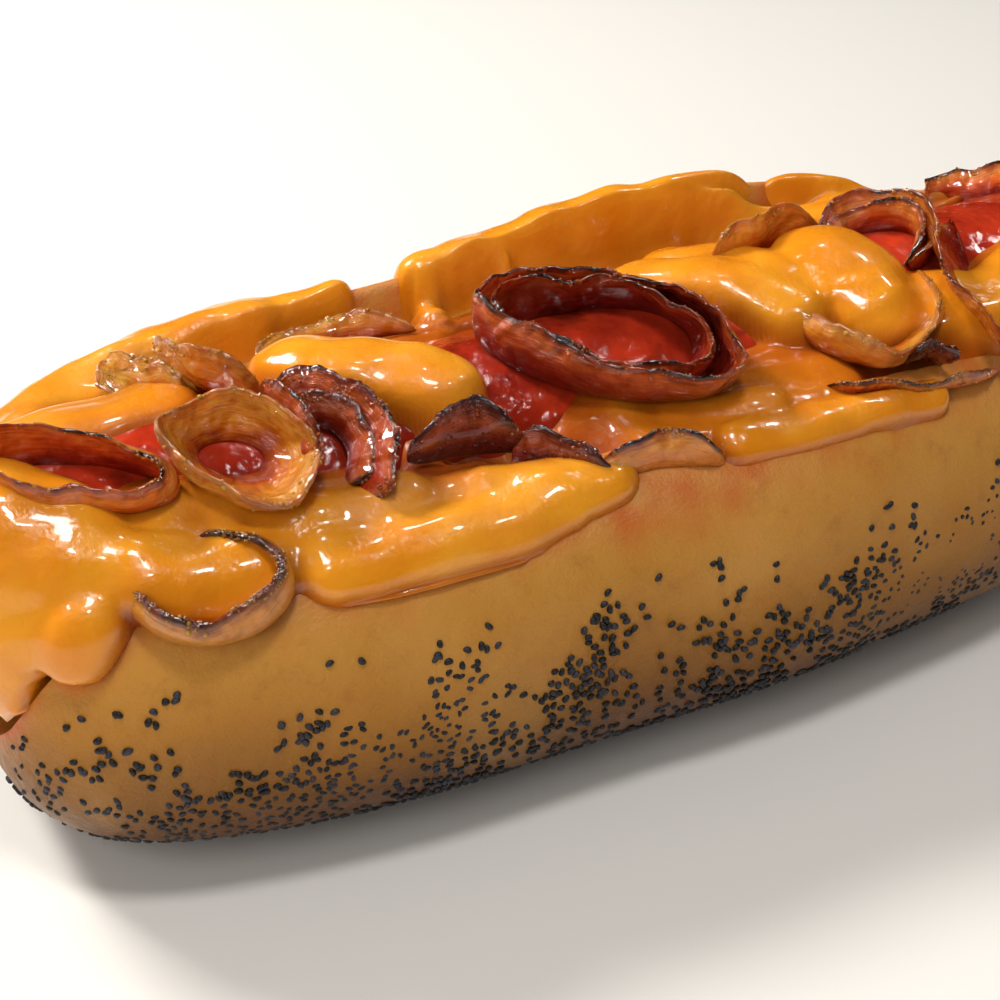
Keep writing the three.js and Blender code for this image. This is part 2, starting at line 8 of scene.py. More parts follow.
# %% Load the frame
import bpy
import numpy as np
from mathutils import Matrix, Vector


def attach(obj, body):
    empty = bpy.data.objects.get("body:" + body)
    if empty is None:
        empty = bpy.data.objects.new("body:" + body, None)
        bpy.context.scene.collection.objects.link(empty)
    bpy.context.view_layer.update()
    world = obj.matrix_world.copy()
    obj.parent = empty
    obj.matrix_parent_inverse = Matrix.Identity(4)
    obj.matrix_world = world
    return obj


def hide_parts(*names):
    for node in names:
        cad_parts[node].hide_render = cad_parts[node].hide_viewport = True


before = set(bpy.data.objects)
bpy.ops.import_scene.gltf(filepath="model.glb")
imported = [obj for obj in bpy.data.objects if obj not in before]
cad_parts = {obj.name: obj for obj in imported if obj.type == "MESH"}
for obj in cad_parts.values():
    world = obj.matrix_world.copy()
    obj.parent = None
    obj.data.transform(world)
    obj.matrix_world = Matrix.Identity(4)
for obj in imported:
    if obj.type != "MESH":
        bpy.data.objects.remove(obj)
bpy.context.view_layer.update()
MM = 0.001
print("nodes to dress:", len(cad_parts))

# %% [markdown]
# The same driving sizes as in the model are needed here, because the fine surfaces
# follow the same formulas. Naming them once keeps bun, sausage and cheese in step.

# %% Driving sizes, in millimetres
TINY = 1e-9
BUN_LENGTH = 155
HALF_WIDTH = {"near": 32.0, "far": 34.5}
LIP_HEIGHT = {"near": 43.5, "far": 49.0}
FAR_SWELL_HEIGHT = 4.5
FAR_SWELL_X = 30
FAR_SWELL_SPREAD = 26
END_POWER_WIDE = 3.4
END_POWER_TALL = 4
WAIST_HEIGHT = 20.0
UNDERSIDE_SINK = 1.06
SECTION_POWER = 2.7
CHANNEL_FLOOR = 18.0
CHANNEL_WALL_RISE = 20.0
CHANNEL_HALF_WIDTH = {"near": 18.5, "far": 20.5}
LIP_ROUNDING = 5.0
SAUSAGE_RADIUS = 14.0
SAUSAGE_HALF_LENGTH = 83.0
SAUSAGE_CORE = SAUSAGE_HALF_LENGTH - SAUSAGE_RADIUS
SAUSAGE_END_RISE = 1.5
SAUSAGE_GAP = 0.3
AXIS_HEIGHT = CHANNEL_FLOOR + SAUSAGE_GAP + SAUSAGE_RADIUS
MOUND_HALF_LENGTH = 60.0
MOUND_END = 14.0
MOUND_SIDE = {"near": 23.0, "far": 25.0}
MOUND_HEIGHT = 12.5
WRAP_RADIUS = 17.0
BREAD_JOINT = 6
FILLING_JOINT = 4
# Slow waves along the bun: height, length over two pi and shift.
SIDE_WAVES = [(0.7, 19, 1), (0.3, 7.3, 0)]
NEAR_LIP_WAVE = (0.7, 17, 0.5)


def by_side(values, y):
    """The near value where y is negative and the far value elsewhere."""
    return np.where(y > 0, values["far"], values["near"])


def wave(x, height, length, shift):
    """A sine wave along the bun: height times the sine of x over a length, shifted."""
    return height * np.sin(x / length + shift)


# %% [markdown]
# Melted food has no sharp inner corners: where two forms meet, the material rounds the
# joint. A smooth minimum does the same with two distances. It could be done afterwards
# with a remesh or a smooth modifier, but in the formula it costs nothing and keeps the
# surfaces exactly where the model has them.

# %% Rounded joins
def smooth_min(a, b, k):
    """The smaller of two arrays, with the corner between them rounded over a width k."""
    h = np.clip(0.5 + 0.5 * (b - a) / k, 0, 1)
    return b * (1 - h) + a * h - k * h * (1 - h)


def smooth_step(value, low, high):
    """0 below low, 1 above high, and a cubic ease between them."""
    u = np.clip((value - low) / (high - low), 0, 1)
    return u * u * (3 - 2 * u)


RIPPLE_WAVES = 7
RIPPLE_LEVEL = 0.7
RIPPLE_LENGTHS = (0.7, 1.4)


def ripple(points, wavelength, seed):
    """Soft noise from -1 to 1: a sum of plane waves in random directions, each about one
    wavelength long, over the square root of their number."""
    rng = np.random.default_rng(seed)
    total = np.zeros(points.shape[:-1])
    for _ in range(RIPPLE_WAVES):
        direction = rng.normal(size=3)
        direction /= np.linalg.norm(direction)
        length = wavelength * rng.uniform(*RIPPLE_LENGTHS)
        total += np.sin(points @ direction * (2 * np.pi / length) + rng.uniform(0, 2 * np.pi))
    return total / np.sqrt(RIPPLE_WAVES) * RIPPLE_LEVEL


def ripples(points, layers, seed):
    """Ripples of several sizes added up, from their heights and wavelengths."""
    return sum(height * ripple(points, length, seed + i) for i, (height, length) in enumerate(layers))


# %% Formulas of the bun, the sausage and the mound of filling
def half_width(x, y):
    """Half the bun's width at x: the side's own value plus slow waves."""
    half = by_side(HALF_WIDTH, y)
    for values in SIDE_WAVES:
        half = half + wave(x, *values)
    return half


def lip_height(x, y):
    """Height of the lip at x: the far lip swells in a bell curve right of the middle."""
    near = LIP_HEIGHT["near"] + wave(x, *NEAR_LIP_WAVE)
    far = LIP_HEIGHT["far"] + FAR_SWELL_HEIGHT * np.exp(-(((x - FAR_SWELL_X) / FAR_SWELL_SPREAD) ** 2))
    return np.where(y > 0, far, near)


def channel_height(y):
    """The channel: a flat floor that rises with the fourth power of the way to the wall."""
    return CHANNEL_FLOOR + CHANNEL_WALL_RISE * (np.abs(y) / by_side(CHANNEL_HALF_WIDTH, y)) ** 4


def end_taper(x):
    """How the bun's width and height shrink towards its ends, two superellipses of x."""
    u = np.clip(np.abs(x) / (BUN_LENGTH / 2), 0, 1)
    return tuple((1 - u**power) ** (1 / power) for power in (END_POWER_WIDE, END_POWER_TALL))


def half_height(x, y, below):
    """Height of the section from the waist to the underside or to the lip."""
    return np.where(below, WAIST_HEIGHT * UNDERSIDE_SINK, lip_height(x, y) - WAIST_HEIGHT)


def bun_point(x, t, side):
    """The bun's skin: a superellipse section over the angle t, from -90 degrees below to
    90 degrees in the channel, cut by the channel with rounded lips."""
    wide, tall = end_taper(x)
    power = 2 / SECTION_POWER
    y = half_width(x, side) * wide * np.abs(np.cos(t)) ** power
    rise = np.sign(np.sin(t)) * np.abs(np.sin(t)) ** power
    outer = WAIST_HEIGHT + half_height(x, side, rise < 0) * rise * tall
    z = smooth_min(outer, channel_height(side * y), LIP_ROUNDING)
    return np.stack(np.broadcast_arrays(x, side * y, np.maximum(z, 0)), -1)


def bun_field(p):
    """Rough distance outside the bun: how far p lies past the superellipse along its own
    radius, joined smoothly with its height over the channel."""
    x, y, z = p[..., 0], p[..., 1], p[..., 2]
    wide, tall = end_taper(x)
    ay = np.maximum(half_width(x, y) * wide, 1)
    dz = z - WAIST_HEIGHT
    az = half_height(x, y, dz < 0) * np.maximum(tall, 0.05)
    r = (np.abs(y) / ay) ** SECTION_POWER + (np.abs(dz) / az) ** SECTION_POWER
    r = (r + TINY) ** (1 / SECTION_POWER)
    outside = np.hypot(y, dz) * (1 - 1 / np.maximum(r, 1e-3))
    past_end = np.abs(x) - BUN_LENGTH / 2
    outside = np.where(past_end > -0.5, np.maximum(outside, past_end), outside)
    slope = 4 * CHANNEL_WALL_RISE * np.abs(y) ** 3 / by_side(CHANNEL_HALF_WIDTH, y) ** 4
    over_channel = (z - channel_height(y)) / np.hypot(1, slope)
    return -smooth_min(-outside, -over_channel, LIP_ROUNDING)


def sausage_axis(x):
    """Height of the sausage's centre line, a shallow parabola that rises to both ends."""
    return AXIS_HEIGHT + SAUSAGE_END_RISE * (x / SAUSAGE_HALF_LENGTH) ** 2


def sausage_field(p):
    """Distance outside the sausage: distance to its centre line less its radius."""
    x = np.clip(p[..., 0], -SAUSAGE_CORE, SAUSAGE_CORE)
    across = np.hypot(p[..., 1], p[..., 2] - sausage_axis(x))
    return np.hypot(p[..., 0] - x, across) - SAUSAGE_RADIUS


def mound_field(p):
    """Rough distance outside the filling, a long ellipsoid round the sausage's axis."""
    x = np.clip(p[..., 0], -MOUND_HALF_LENGTH, MOUND_HALF_LENGTH)
    dx, y, dz = p[..., 0] - x, p[..., 1], p[..., 2] - AXIS_HEIGHT
    r = np.sqrt((dx / MOUND_END) ** 2 + (y / by_side(MOUND_SIDE, y)) ** 2 + (dz / MOUND_HEIGHT) ** 2 + TINY)
    return (r - 1) * np.sqrt(dx**2 + y**2 + dz**2) / r


def food_field(p):
    """Rough distance outside bun, sausage and filling together."""
    carrier = smooth_min(bun_field(p), sausage_field(p), BREAD_JOINT)
    return smooth_min(carrier, mound_field(p), FILLING_JOINT)


# %% [markdown]
# Cheese and onions lie on the food at all angles, so they are placed with rays: a ray
# starts on the sausage's axis and goes outwards until it leaves the food. Blender could
# project pieces with a Shrinkwrap modifier. The ray is used instead because thickness
# and lift then come from the same formula, and there is nothing to apply.

# %% Rays out of the food
RAY_REACH = 44.0
RAY_STEPS = 34
RAY_HALVINGS = 10


def on_surface(q):
    """The level of the food's own surface, which is nought at every point q."""
    return 0.0


def leave(origin, direction, level=on_surface, start=4.0):
    """The points where rays leave the surface food_field = level: each ray is marched
    outwards to its first crossing, and the step that holds it is halved again and again."""
    inside = np.full(direction.shape[:-1], start)
    outside = np.full(direction.shape[:-1], start)
    found = np.zeros(direction.shape[:-1], bool)
    for distance in np.linspace(start, RAY_REACH, RAY_STEPS):
        q = origin + direction * distance
        out = food_field(q) >= level(q)
        outside = np.where(found, outside, distance)
        found |= out
        inside = np.where(found, inside, distance)
    for _ in range(RAY_HALVINGS):
        middle = (inside + outside) / 2
        q = origin + direction * middle[..., None]
        out = food_field(q) >= level(q)
        outside = np.where(out, middle, outside)
        inside = np.where(out, inside, middle)
    return origin + direction * ((inside + outside) / 2)[..., None]


def axis_rays(x, angle):
    """Origins on the sausage's axis at x, and directions `angle` radians round it."""
    x, angle = np.broadcast_arrays(x, angle)
    origin = np.stack([x, 0 * x, 0 * x + AXIS_HEIGHT], -1)
    return origin, np.stack([0 * x, np.sin(angle), np.cos(angle)], -1)


def on_food(x, angle, lift):
    """Points on the food at x and an angle round it, raised by lift."""
    origin, direction = axis_rays(np.asarray(x, float), np.asarray(angle, float))
    lift = np.broadcast_to(lift, direction.shape[:-1])
    return leave(origin, direction, lambda q: lift)


# %% [markdown]
# A grid of points turns into a mesh the same way for every piece: loops of points,
# joined ring by ring, with a pole at each end or the last loop meeting the first.
# Writing whole arrays with foreach_set is much faster than adding faces one by one.

# %% From loops of points to a mesh
def loop_faces(rows, columns, joined):
    """Quads between neighbouring loops, and two fans of triangles to the poles unless
    the loops are joined into a ring."""
    i = np.arange(rows if joined else rows - 1)[:, None]
    j = np.arange(columns)[None, :]
    a = i * columns + j
    b = (i + 1) % rows * columns + j
    c = (i + 1) % rows * columns + (j + 1) % columns
    d = i * columns + (j + 1) % columns
    quads = np.stack([a, b, c, d], -1).reshape(-1, 4)
    if joined:
        return quads, np.zeros((0, 3), int)
    j = np.arange(columns)
    k = (j + 1) % columns
    first, last = rows * columns, rows * columns + 1
    base = (rows - 1) * columns
    low = np.stack([j, k, np.full(columns, first)], -1)
    high = np.stack([base + k, base + j, np.full(columns, last)], -1)
    return quads, np.concatenate([low, high])


def signed_volume(points, triangles):
    """Six times the volume inside the triangles, negative when they face inwards."""
    a, b, c = (points[triangles[:, i]] for i in range(3))
    return np.einsum("ij,ij->", a, np.cross(b, c))


def fill_mesh(name, points, quads, triangles):
    """A Blender mesh from arrays of points in millimetres, quads and triangles."""
    mesh = bpy.data.meshes.new(name)
    mesh.vertices.add(len(points))
    mesh.vertices.foreach_set("co", (points * MM).astype(np.float32).ravel())
    corners = np.concatenate([quads.ravel(), triangles.ravel()])
    sizes = np.concatenate([np.full(len(quads), 4), np.full(len(triangles), 3)])
    mesh.loops.add(len(corners))
    mesh.loops.foreach_set("vertex_index", corners.astype(np.int32))
    mesh.polygons.add(len(sizes))
    mesh.polygons.foreach_set("loop_start", (np.cumsum(sizes) - sizes).astype(np.int32))
    mesh.update(calc_edges=True)
    mesh.validate()
    mesh.shade_smooth()
    return mesh


def store(mesh, name, values):
    """Writes one number per vertex as a named attribute that a material can read."""
    layer = mesh.attributes.new(name, "FLOAT", "POINT")
    layer.data.foreach_set("value", np.asarray(values, np.float32).ravel())


def skin_arrays(loops, joined=False, **attributes):
    """Points, quads, triangles and attributes of a tube of loops that faces outwards. A
    pole takes the mean of its loop."""
    rows, columns = loops.shape[:2]
    quads, triangles = loop_faces(rows, columns, joined)
    points = loops.reshape(-1, 3)
    flat = {key: values.reshape(-1) for key, values in attributes.items()}
    if not joined:
        points = np.concatenate([points, [loops[0].mean(0), loops[-1].mean(0)]])
        flat = {key: np.concatenate([flat[key], [values[0].mean(), values[-1].mean()]])
                for key, values in attributes.items()}
    split = np.concatenate([quads[:, [0, 1, 2]], quads[:, [0, 2, 3]], triangles])
    if signed_volume(points, split) < 0:
        quads, triangles = quads[:, ::-1], triangles[:, ::-1]
    return points, quads, triangles, flat


def skin_mesh(name, points, quads, triangles, attributes):
    """A Blender mesh from arrays, with its attributes."""
    mesh = fill_mesh(name, points, quads, triangles)
    for key, values in attributes.items():
        store(mesh, key, values)
    return mesh


def in_scene(name, data):
    """A new object of the scene with some data: a mesh, a camera or a light."""
    thing = bpy.data.objects.new(name, data)
    bpy.context.collection.objects.link(thing)
    return thing


def dress(mesh, material, slot, *nodes):
    """Puts a mesh in the scene as a piece that rides on the body and replaces nodes."""
    piece = in_scene(mesh.name, mesh)
    mesh.materials.append(material)
    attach(piece, "root")
    if nodes:
        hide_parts(*nodes)
    print(f"{mesh.name}: {len(mesh.vertices)} points, {len(mesh.polygons)} faces")
    return piece


def grid_normals(loops, joined=False):
    """Unit normals of a grid of loops, from the differences along its two directions."""
    across = np.roll(loops, -1, 1) - np.roll(loops, 1, 1)
    if joined:
        along = np.roll(loops, -1, 0) - np.roll(loops, 1, 0)
    else:
        along = np.gradient(loops, axis=0)
    normal = np.cross(across, along)
    return normal / (np.linalg.norm(normal, axis=-1, keepdims=True) + TINY)


# %% [markdown]
# Finishes come next. Bread, cheese, skin and onion all shine unevenly: grease gathers
# in some places and the surface is drier in others. That is one effect with different
# numbers, so it is a node group, built once and placed in each material.

# %% Node helpers
def srgb(red, green, blue):
    """Linear RGBA from 8-bit screen values."""
    c = np.array([red, green, blue]) / 255
    linear = np.where(c <= 0.04045, c / 12.92, ((c + 0.055) / 1.055) ** 2.4)
    return (*linear, 1.0)


def feed(tree, socket, value):
    """Links another node's output to a socket, or sets a number or a colour on it."""
    if isinstance(value, bpy.types.NodeSocket):
        tree.links.new(value, socket)
    else:
        socket.default_value = value


def add_node(tree, kind, **settings):
    """A node of a kind. Settings named like sockets, with _ for a space, go to its
    inputs, the rest to the node."""
    node = tree.nodes.new(kind)
    for key, value in settings.items():
        label = key.replace("_", " ")
        if label in node.inputs:
            feed(tree, node.inputs[label], value)
        else:
            setattr(node, key, value)
    return node


def math(tree, operation, a, b, c=0.0):
    """One Math node, whose inputs are sockets or numbers."""
    node = add_node(tree, "ShaderNodeMath", operation=operation)
    for socket, value in zip(node.inputs, (a, b, c)):
        feed(tree, socket, value)
    return node.outputs[0]


def remap(tree, value, low, high, to_low=0.0, to_high=1.0):
    """A value mapped smoothly from one range to another, and held at both ends."""
    node = add_node(tree, "ShaderNodeMapRange", interpolation_type="SMOOTHSTEP")
    for socket, number in zip(node.inputs[:5], (value, low, high, to_low, to_high)):
        feed(tree, socket, number)
    return node.outputs[0]


def blend(tree, factor, a, b):
    """Two colours mixed by a factor. Each may be a socket or a colour."""
    node = add_node(tree, "ShaderNodeMix", data_type="RGBA")
    for place, value in ((0, factor), (6, a), (7, b)):
        feed(tree, node.inputs[place], value)
    return node.outputs[2]


def noise(tree, vector, scale, detail, roughness=0.55):
    """Noise from 0 to 1, in cycles a metre."""
    return add_node(tree, "ShaderNodeTexNoise", Vector=vector, Scale=scale, Detail=detail,
                    Roughness=roughness).outputs[0]


def attribute(tree, name):
    """The value of a named vertex attribute."""
    return add_node(tree, "ShaderNodeAttribute", attribute_name=name).outputs["Fac"]


def object_place(tree):
    """Object coordinates, which every solid pattern follows."""
    return tree.nodes.new("ShaderNodeTexCoord").outputs["Object"]


def new_material(name):
    """A material with an empty Principled shader. Returns it with its tree and shader."""
    material = bpy.data.materials.new(name)
    material.use_nodes = True
    return material, material.node_tree, material.node_tree.nodes["Principled BSDF"]


def connect(tree, shader, **inputs):
    """Feeds the shader's inputs, named with _ for a space. A plain number or colour is
    set on the shader itself."""
    for key, value in inputs.items():
        feed(tree, shader.inputs[key.replace("_", " ")], value)


def bump(tree, height, strength, distance):
    """A normal from a height."""
    return add_node(tree, "ShaderNodeBump", Height=height, Strength=strength, Distance=distance).outputs[0]


# %% The uneven wetness that every finish shares
def make_wetness_group():
    """Group: patches of two sizes of noise give a roughness between Dry and Wet, and a
    height of small bumps."""
    group = bpy.data.node_groups.new("Uneven_Wetness", "ShaderNodeTree")
    for name in ("Patch Scale", "Grain Scale", "Wet", "Dry"):
        group.interface.new_socket(name, in_out="INPUT", socket_type="NodeSocketFloat")
    for name in ("Roughness", "Height"):
        group.interface.new_socket(name, in_out="OUTPUT", socket_type="NodeSocketFloat")
    entry = group.nodes.new("NodeGroupInput")
    leaving = group.nodes.new("NodeGroupOutput")
    place = object_place(group)
    patch = noise(group, place, entry.outputs["Patch Scale"], 2.0, 0.5)
    grain = noise(group, place, entry.outputs["Grain Scale"], 4.0, 0.5)
    mixed = math(group, "MULTIPLY_ADD", patch, 0.7, math(group, "MULTIPLY", grain, 0.3))
    mask = remap(group, mixed, 0.4, 0.62)
    spread = math(group, "SUBTRACT", entry.outputs["Dry"], entry.outputs["Wet"])
    rough = math(group, "MULTIPLY_ADD", mask, spread, entry.outputs["Wet"])
    group.links.new(rough, leaving.inputs["Roughness"])
    group.links.new(grain, leaving.inputs["Height"])
    return group


WETNESS = make_wetness_group()


def wetness(tree, patch_scale, grain_scale, wet, dry):
    """The wetness group placed in a material. Returns its roughness and height."""
    node = add_node(tree, "ShaderNodeGroup", node_tree=WETNESS)
    connect(tree, node, Patch_Scale=patch_scale, Grain_Scale=grain_scale, Wet=wet, Dry=dry)
    return node.outputs["Roughness"], node.outputs["Height"]


# %% [markdown]
# The cheese is poured: each pour is a curve on the food with a width and a depth, round
# in section like syrup on a plate. Metaballs could do this, but they forget the food
# below them. Here the depth at a point of the food is the deepest pour there, rounded
# where pours meet, and a ray finds the surface that stands so high above the food. The
# short narrow lines at the end of each list are the ridges, folds and drops on the pours.

# %% The pours of cheese
# Name, half width, depth and line of each pour. A point of the line is [x, degrees round
# the sausage from the top, negative on the near side].
POURS = [
    ("near_end_dome", 7.6, 4.4, [[-74, -28], [-71, -40], [-68, -50]]),
    ("near_end_fold", 4.6, 3.4, [[-67, -58], [-62, -64], [-58, -70]]),
    ("near_end_run", 5.4, 3.4, [[-74, -48], [-75, -70], [-76, -98], [-76, -114], [-76, -132]]),
    ("drip_neck", 2.8, 3, [[-66, -64], [-67, -73]]),
    ("drip", 4.4, 4.6, [[-68, -77], [-69.5, -84]]),
    ("cup_fill", 5, 2.2, [[-59, -68], [-54, -71], [-50, -71]]),
    ("near_lobe_low", 4.2, 3.2, [[-42, -75], [-35, -76], [-29, -76], [-21, -76], [-15, -74]]),
    ("near_lobe_high", 3.2, 2.6, [[-22, -69], [-14, -71], [-8, -73]]),
    ("near_trough", 6, 1.5, [[-57, -53], [-49, -61], [-43, -65], [-36, -67]]),
    ("trough_end", 4, 1.2, [[-36, -67], [-30, -68], [-22, -69]]),
    ("near_tongue", 2.8, 2.2, [[8, -73], [15, -73.5], [24, -74]]),
    ("tongue_end", 2.4, 2.0, [[24, -74], [30, -75], [36, -76]]),
    ("middle_trough", 5, 0.7, [[1, -60], [6, -63], [12, -65], [24, -66]]),
    ("dollop", 5.4, 4.4, [[-34, 26], [-30, 8], [-25, -10], [-21, -24]]),
    ("far_left_skin", 6, 1.6, [[-72, 14], [-62, 20], [-52, 26]]),
    ("right_tongue", 4.6, 3.4, [[13, 24], [19, 6], [22, -14], [26, -32]]),
    ("right_fold", 4.6, 2.8, [[22, 50], [24, 30], [25, 8], [28, -12]]),
    ("right_blob", 6.6, 4.5, [[35, -4], [37, -24], [37, -40]]),
    ("right_pool", 6, 3, [[45, -50], [52, -56], [62, -46]]),
    ("lobe_ridge", 2.1, 3.9, [[-41, -76], [-35, -78], [-28, -78], [-22, -77]]),
    ("lobe_crest", 1.8, 3.4, [[-22, -76], [-17, -75], [-12, -74]]),
    ("lobe_end", 2.2, 3.0, [[-12, -76], [-8, -75]]),
    ("tongue_ridge", 1.6, 2.8, [[9, -73], [15, -74], [23, -74.5], [30, -76]]),
    ("left_fold", 2.2, 2.6, [[-70, 24], [-60, 30], [-52, 34]]),
    ("dome_fold", 2.4, 5.2, [[-77, -36], [-72, -46], [-70, -54]]),
    ("dome_side", 2.0, 4.0, [[-65, -48], [-62, -56], [-57, -61]]),
    ("drop", 3.5, 6.2, [[-68.5, -80], [-69.5, -84]]),
    ("dollop_tip", 3.4, 5.0, [[-24, -14], [-22, -22]]),
    ("dollop_tail", 2.4, 4.4, [[-34, 20], [-31, 10], [-28, 2]]),
    ("tongue_right_crest", 2.2, 4.0, [[13, 18], [18, 4], [22, -12]]),
    ("blob_top", 4.2, 5.6, [[34, -8], [36, -20]]),
    ("blob_side", 2.6, 4.6, [[31, -12], [31, -28], [33, -38]]),
    ("blob_low", 3.0, 4.6, [[39, -34], [37, -43]]),
    ("trough_swell", 3.0, 2.4, [[-46, -60], [-38, -64], [-31, -64]]),
    ("middle_swell", 2.4, 1.8, [[4, -62], [9, -65], [15, -67]]),
    ("run_side", 3.6, 3.0, [[-72, -64], [-73.5, -84], [-75, -100], [-76, -116]]),
    ("run_ridge", 2.4, 4.4, [[-75, -60], [-76, -84], [-76, -110], [-76, -126]]),
]

# On the far lip a line's points are [x, y], seen from above.
FAR_POURS = [
    ("far_left", 5.8, 2.5, [[-68, 15], [-60, 19], [-50, 22.5], [-40, 24], [-34, 24]]),
    ("far_left_tip", 3.4, 2.0, [[-34, 24], [-28, 24], [-22, 23.4]]),
    ("far_left_crest", 2.6, 3.2, [[-66, 17], [-58, 21], [-50, 24], [-44, 25]]),
    ("far_left_knob", 3.2, 4.6, [[-41, 25.5], [-36, 25.5]]),
    ("far_spill_left", 5.5, 2.6, [[-46, 25], [-45, 29], [-46, 32.5]]),
    ("far_ribbon", 3.9, 3, [[-9, 22.8], [-2, 23.4], [6, 23.8], [14, 23.6], [24, 22.8], [34, 22],
                            [42, 21.2]]),
    ("ribbon_crest", 2.2, 4.2, [[-8, 23.6], [0, 24.2], [7, 24.6], [13, 24.2], [21, 23.2], [30, 22.2]]),
    ("ribbon_left_knob", 3.0, 4.9, [[-4, 24.4], [-2, 24.6]]),
    ("ribbon_knob", 2.8, 5.0, [[8, 24.8], [11, 25]]),
    ("inner_drip", 2.0, 3.4, [[-9, 21.5], [-10.5, 18.5], [-11, 16]]),
    ("second_drip", 1.6, 2.6, [[2, 20], [1.4, 17.6]]),
    ("far_spill_right", 4.6, 2.4, [[12, 25], [13, 29], [12, 32]]),
    ("far_right", 6, 2.6, [[44, 20], [53, 18.5], [62, 15]]),
]

# Hollows inside the onion pieces and where the sausage lies bare: place, radius and drop.
HOLLOWS = [
    ("in_boat", [-65, -20], 7, 3.5),
    ("in_ring_front", [-47, -33], 5, 3.5),
    ("behind_ring_front", [-45, -2], 7, 3),
    ("in_ring_back", [-33, -45], 5.5, 4),
    ("in_hood", [-19, -50], 6, 3.5),
    ("beside_dollop", [-11, -28], 6, 3),
    ("below_ring_big", [-8, -44], 6, 3),
    ("in_ring_big", [3, -12], 10, 3),
    ("under_ribbon_left", [-6, 36], 7, 3),
    ("under_ribbon_right", [8, 36], 6, 3),
    ("in_ring_top", [46, 10], 6, 3),
]
# The cheese away from the pours: its level on top, its rise down the sides, and its fall
# past the lips, in degrees, and past both ends, in x. Each has a height and its two ends.
TOP_LEVEL = -3.4
SIDE_RISE = (2.4, 30, 50)
LIP_FALL = (8, 74, 96)
END_FALL = (6, 58, 74)
HOLLOW_EDGE = (0.5, 1.1)
POUR_FALL = 4
LOWEST_POUR = -12
POUR_JOINT = 0.9
CURVE_SAMPLES = 14
POINTS_AT_ONCE = 20000


def above(x, y):
    """The points of the food straight above x, y."""
    origin = np.stack(np.broadcast_arrays(x, y, AXIS_HEIGHT), -1)
    return leave(origin, np.broadcast_to([0.0, 0.0, 1.0], origin.shape), start=1.0)


def smooth_curve(line):
    """A Catmull-Rom curve through the points of a line, as two arrays of coordinates."""
    p = np.array(line, float)
    ends = np.concatenate([[2 * p[0] - p[1]], p, [2 * p[-1] - p[-2]]])
    t = np.linspace(0, 1, CURVE_SAMPLES, endpoint=False)[:, None]
    spans = []
    for a, b, c, d in zip(ends, ends[1:], ends[2:], ends[3:]):
        spans.append(0.5 * (2 * b + (c - a) * t + (2 * a - 5 * b + 4 * c - d) * t**2
                            + (3 * b - a - 3 * c + d) * t**3))
    return np.concatenate(spans + [p[-1:]]).T


def curve_on_food(line):
    """Points on the food along a smooth line of [x, degrees]."""
    x, angle = smooth_curve(line)
    return on_food(x, np.radians(angle), 0.0)


def nearest(points, targets):
    """Distance from each point to the nearest target, from |p - q|^2 = p.p - 2 p.q + q.q,
    for some thousand points at once, which keeps the table small."""
    flat = points.reshape(-1, 3)
    squared = np.empty(len(flat))
    for i in range(0, len(flat), POINTS_AT_ONCE):
        part = flat[i:i + POINTS_AT_ONCE]
        table = (targets**2).sum(1)[None] - 2 * part @ targets.T
        squared[i:i + POINTS_AT_ONCE] = table.min(1) + (part**2).sum(1)
    return np.sqrt(np.maximum(squared, 0)).reshape(points.shape[:-1])


CURVES = [(half, deep, curve_on_food(line)) for _, half, deep, line in POURS]
CURVES += [(half, deep, above(*smooth_curve(line))) for _, half, deep, line in FAR_POURS]
print("pours:", len(CURVES))


def eased(value, height, low, high):
    """Rises smoothly by a height while the value goes from low to high."""
    return height * smooth_step(value, low, high)


def cheese_level(p):
    """How far the cheese stands above the food at its point p. Away from the pours it only
    fills the channel. Over a pour it is half an ellipse across the pour's width, which
    falls steeply outside, and where two meet the deeper one wins, rounded."""
    angle = np.abs(np.degrees(np.arctan2(p[..., 1], p[..., 2] - AXIS_HEIGHT)))
    level = TOP_LEVEL + eased(angle, *SIDE_RISE) - eased(angle, *LIP_FALL)
    level = level - eased(np.abs(p[..., 0]), *END_FALL)
    for _, (x, degrees), radius, drop in HOLLOWS:
        away = np.linalg.norm(p - on_food(x, np.radians(degrees), 0.0), axis=-1) / radius
        level = level - drop * (1 - smooth_step(away, *HOLLOW_EDGE))
    for half, deep, curve in CURVES:
        u = nearest(p, curve) / half
        top = deep / np.hypot(1, deep / half) * np.sqrt(np.clip(1 - u * u, 0, 1))
        ridge = np.where(u < 1, top, np.maximum(-POUR_FALL * (u - 1) * deep, LOWEST_POUR))
        level = -smooth_min(-level, -ridge, POUR_JOINT)
    return level


SLOPE_STEP = 0.05
LONGEST_STEP = 6


def foot_point(q):
    """The food's point below q: one step down the slope of the field, as in Newton's
    method, and no longer than a few millimetres."""
    step = SLOPE_STEP * np.eye(3)
    slope = np.stack([(food_field(q + e) - food_field(q - e)) / (2 * SLOPE_STEP) for e in step], -1)
    depth = np.clip(food_field(q) / ((slope**2).sum(-1) + TINY), -LONGEST_STEP, LONGEST_STEP)
    return q - slope * depth[..., None]


# %% Cheese surface
FAN_START = {"near": -22.0, "far": 25.0}
END_FAN_SHRINK = 0.3
EDGE_DEGREES = 150
EDGE_START = 2.0
HIDDEN_LEVEL = -3
SOFTEN_PASSES = 3
CHEESE_RIPPLES = [(0.28, 10), (0.12, 4.2)]
# The closing line of each loop, hidden in the sausage: its y, and how far below the axis.
INNER_Y = [4.0, 0.0, -4.0]
INNER_DEPTH = 9


def soften(values):
    """Averages every value with its four neighbours on the grid, which count half."""
    for _ in range(SOFTEN_PASSES):
        around = np.pad(values, 1, mode="edge")
        beside = around[:-2, 1:-1] + around[2:, 1:-1] + around[1:-1, :-2] + around[1:-1, 2:]
        values = (beside + 4 * values) / 8
    return values


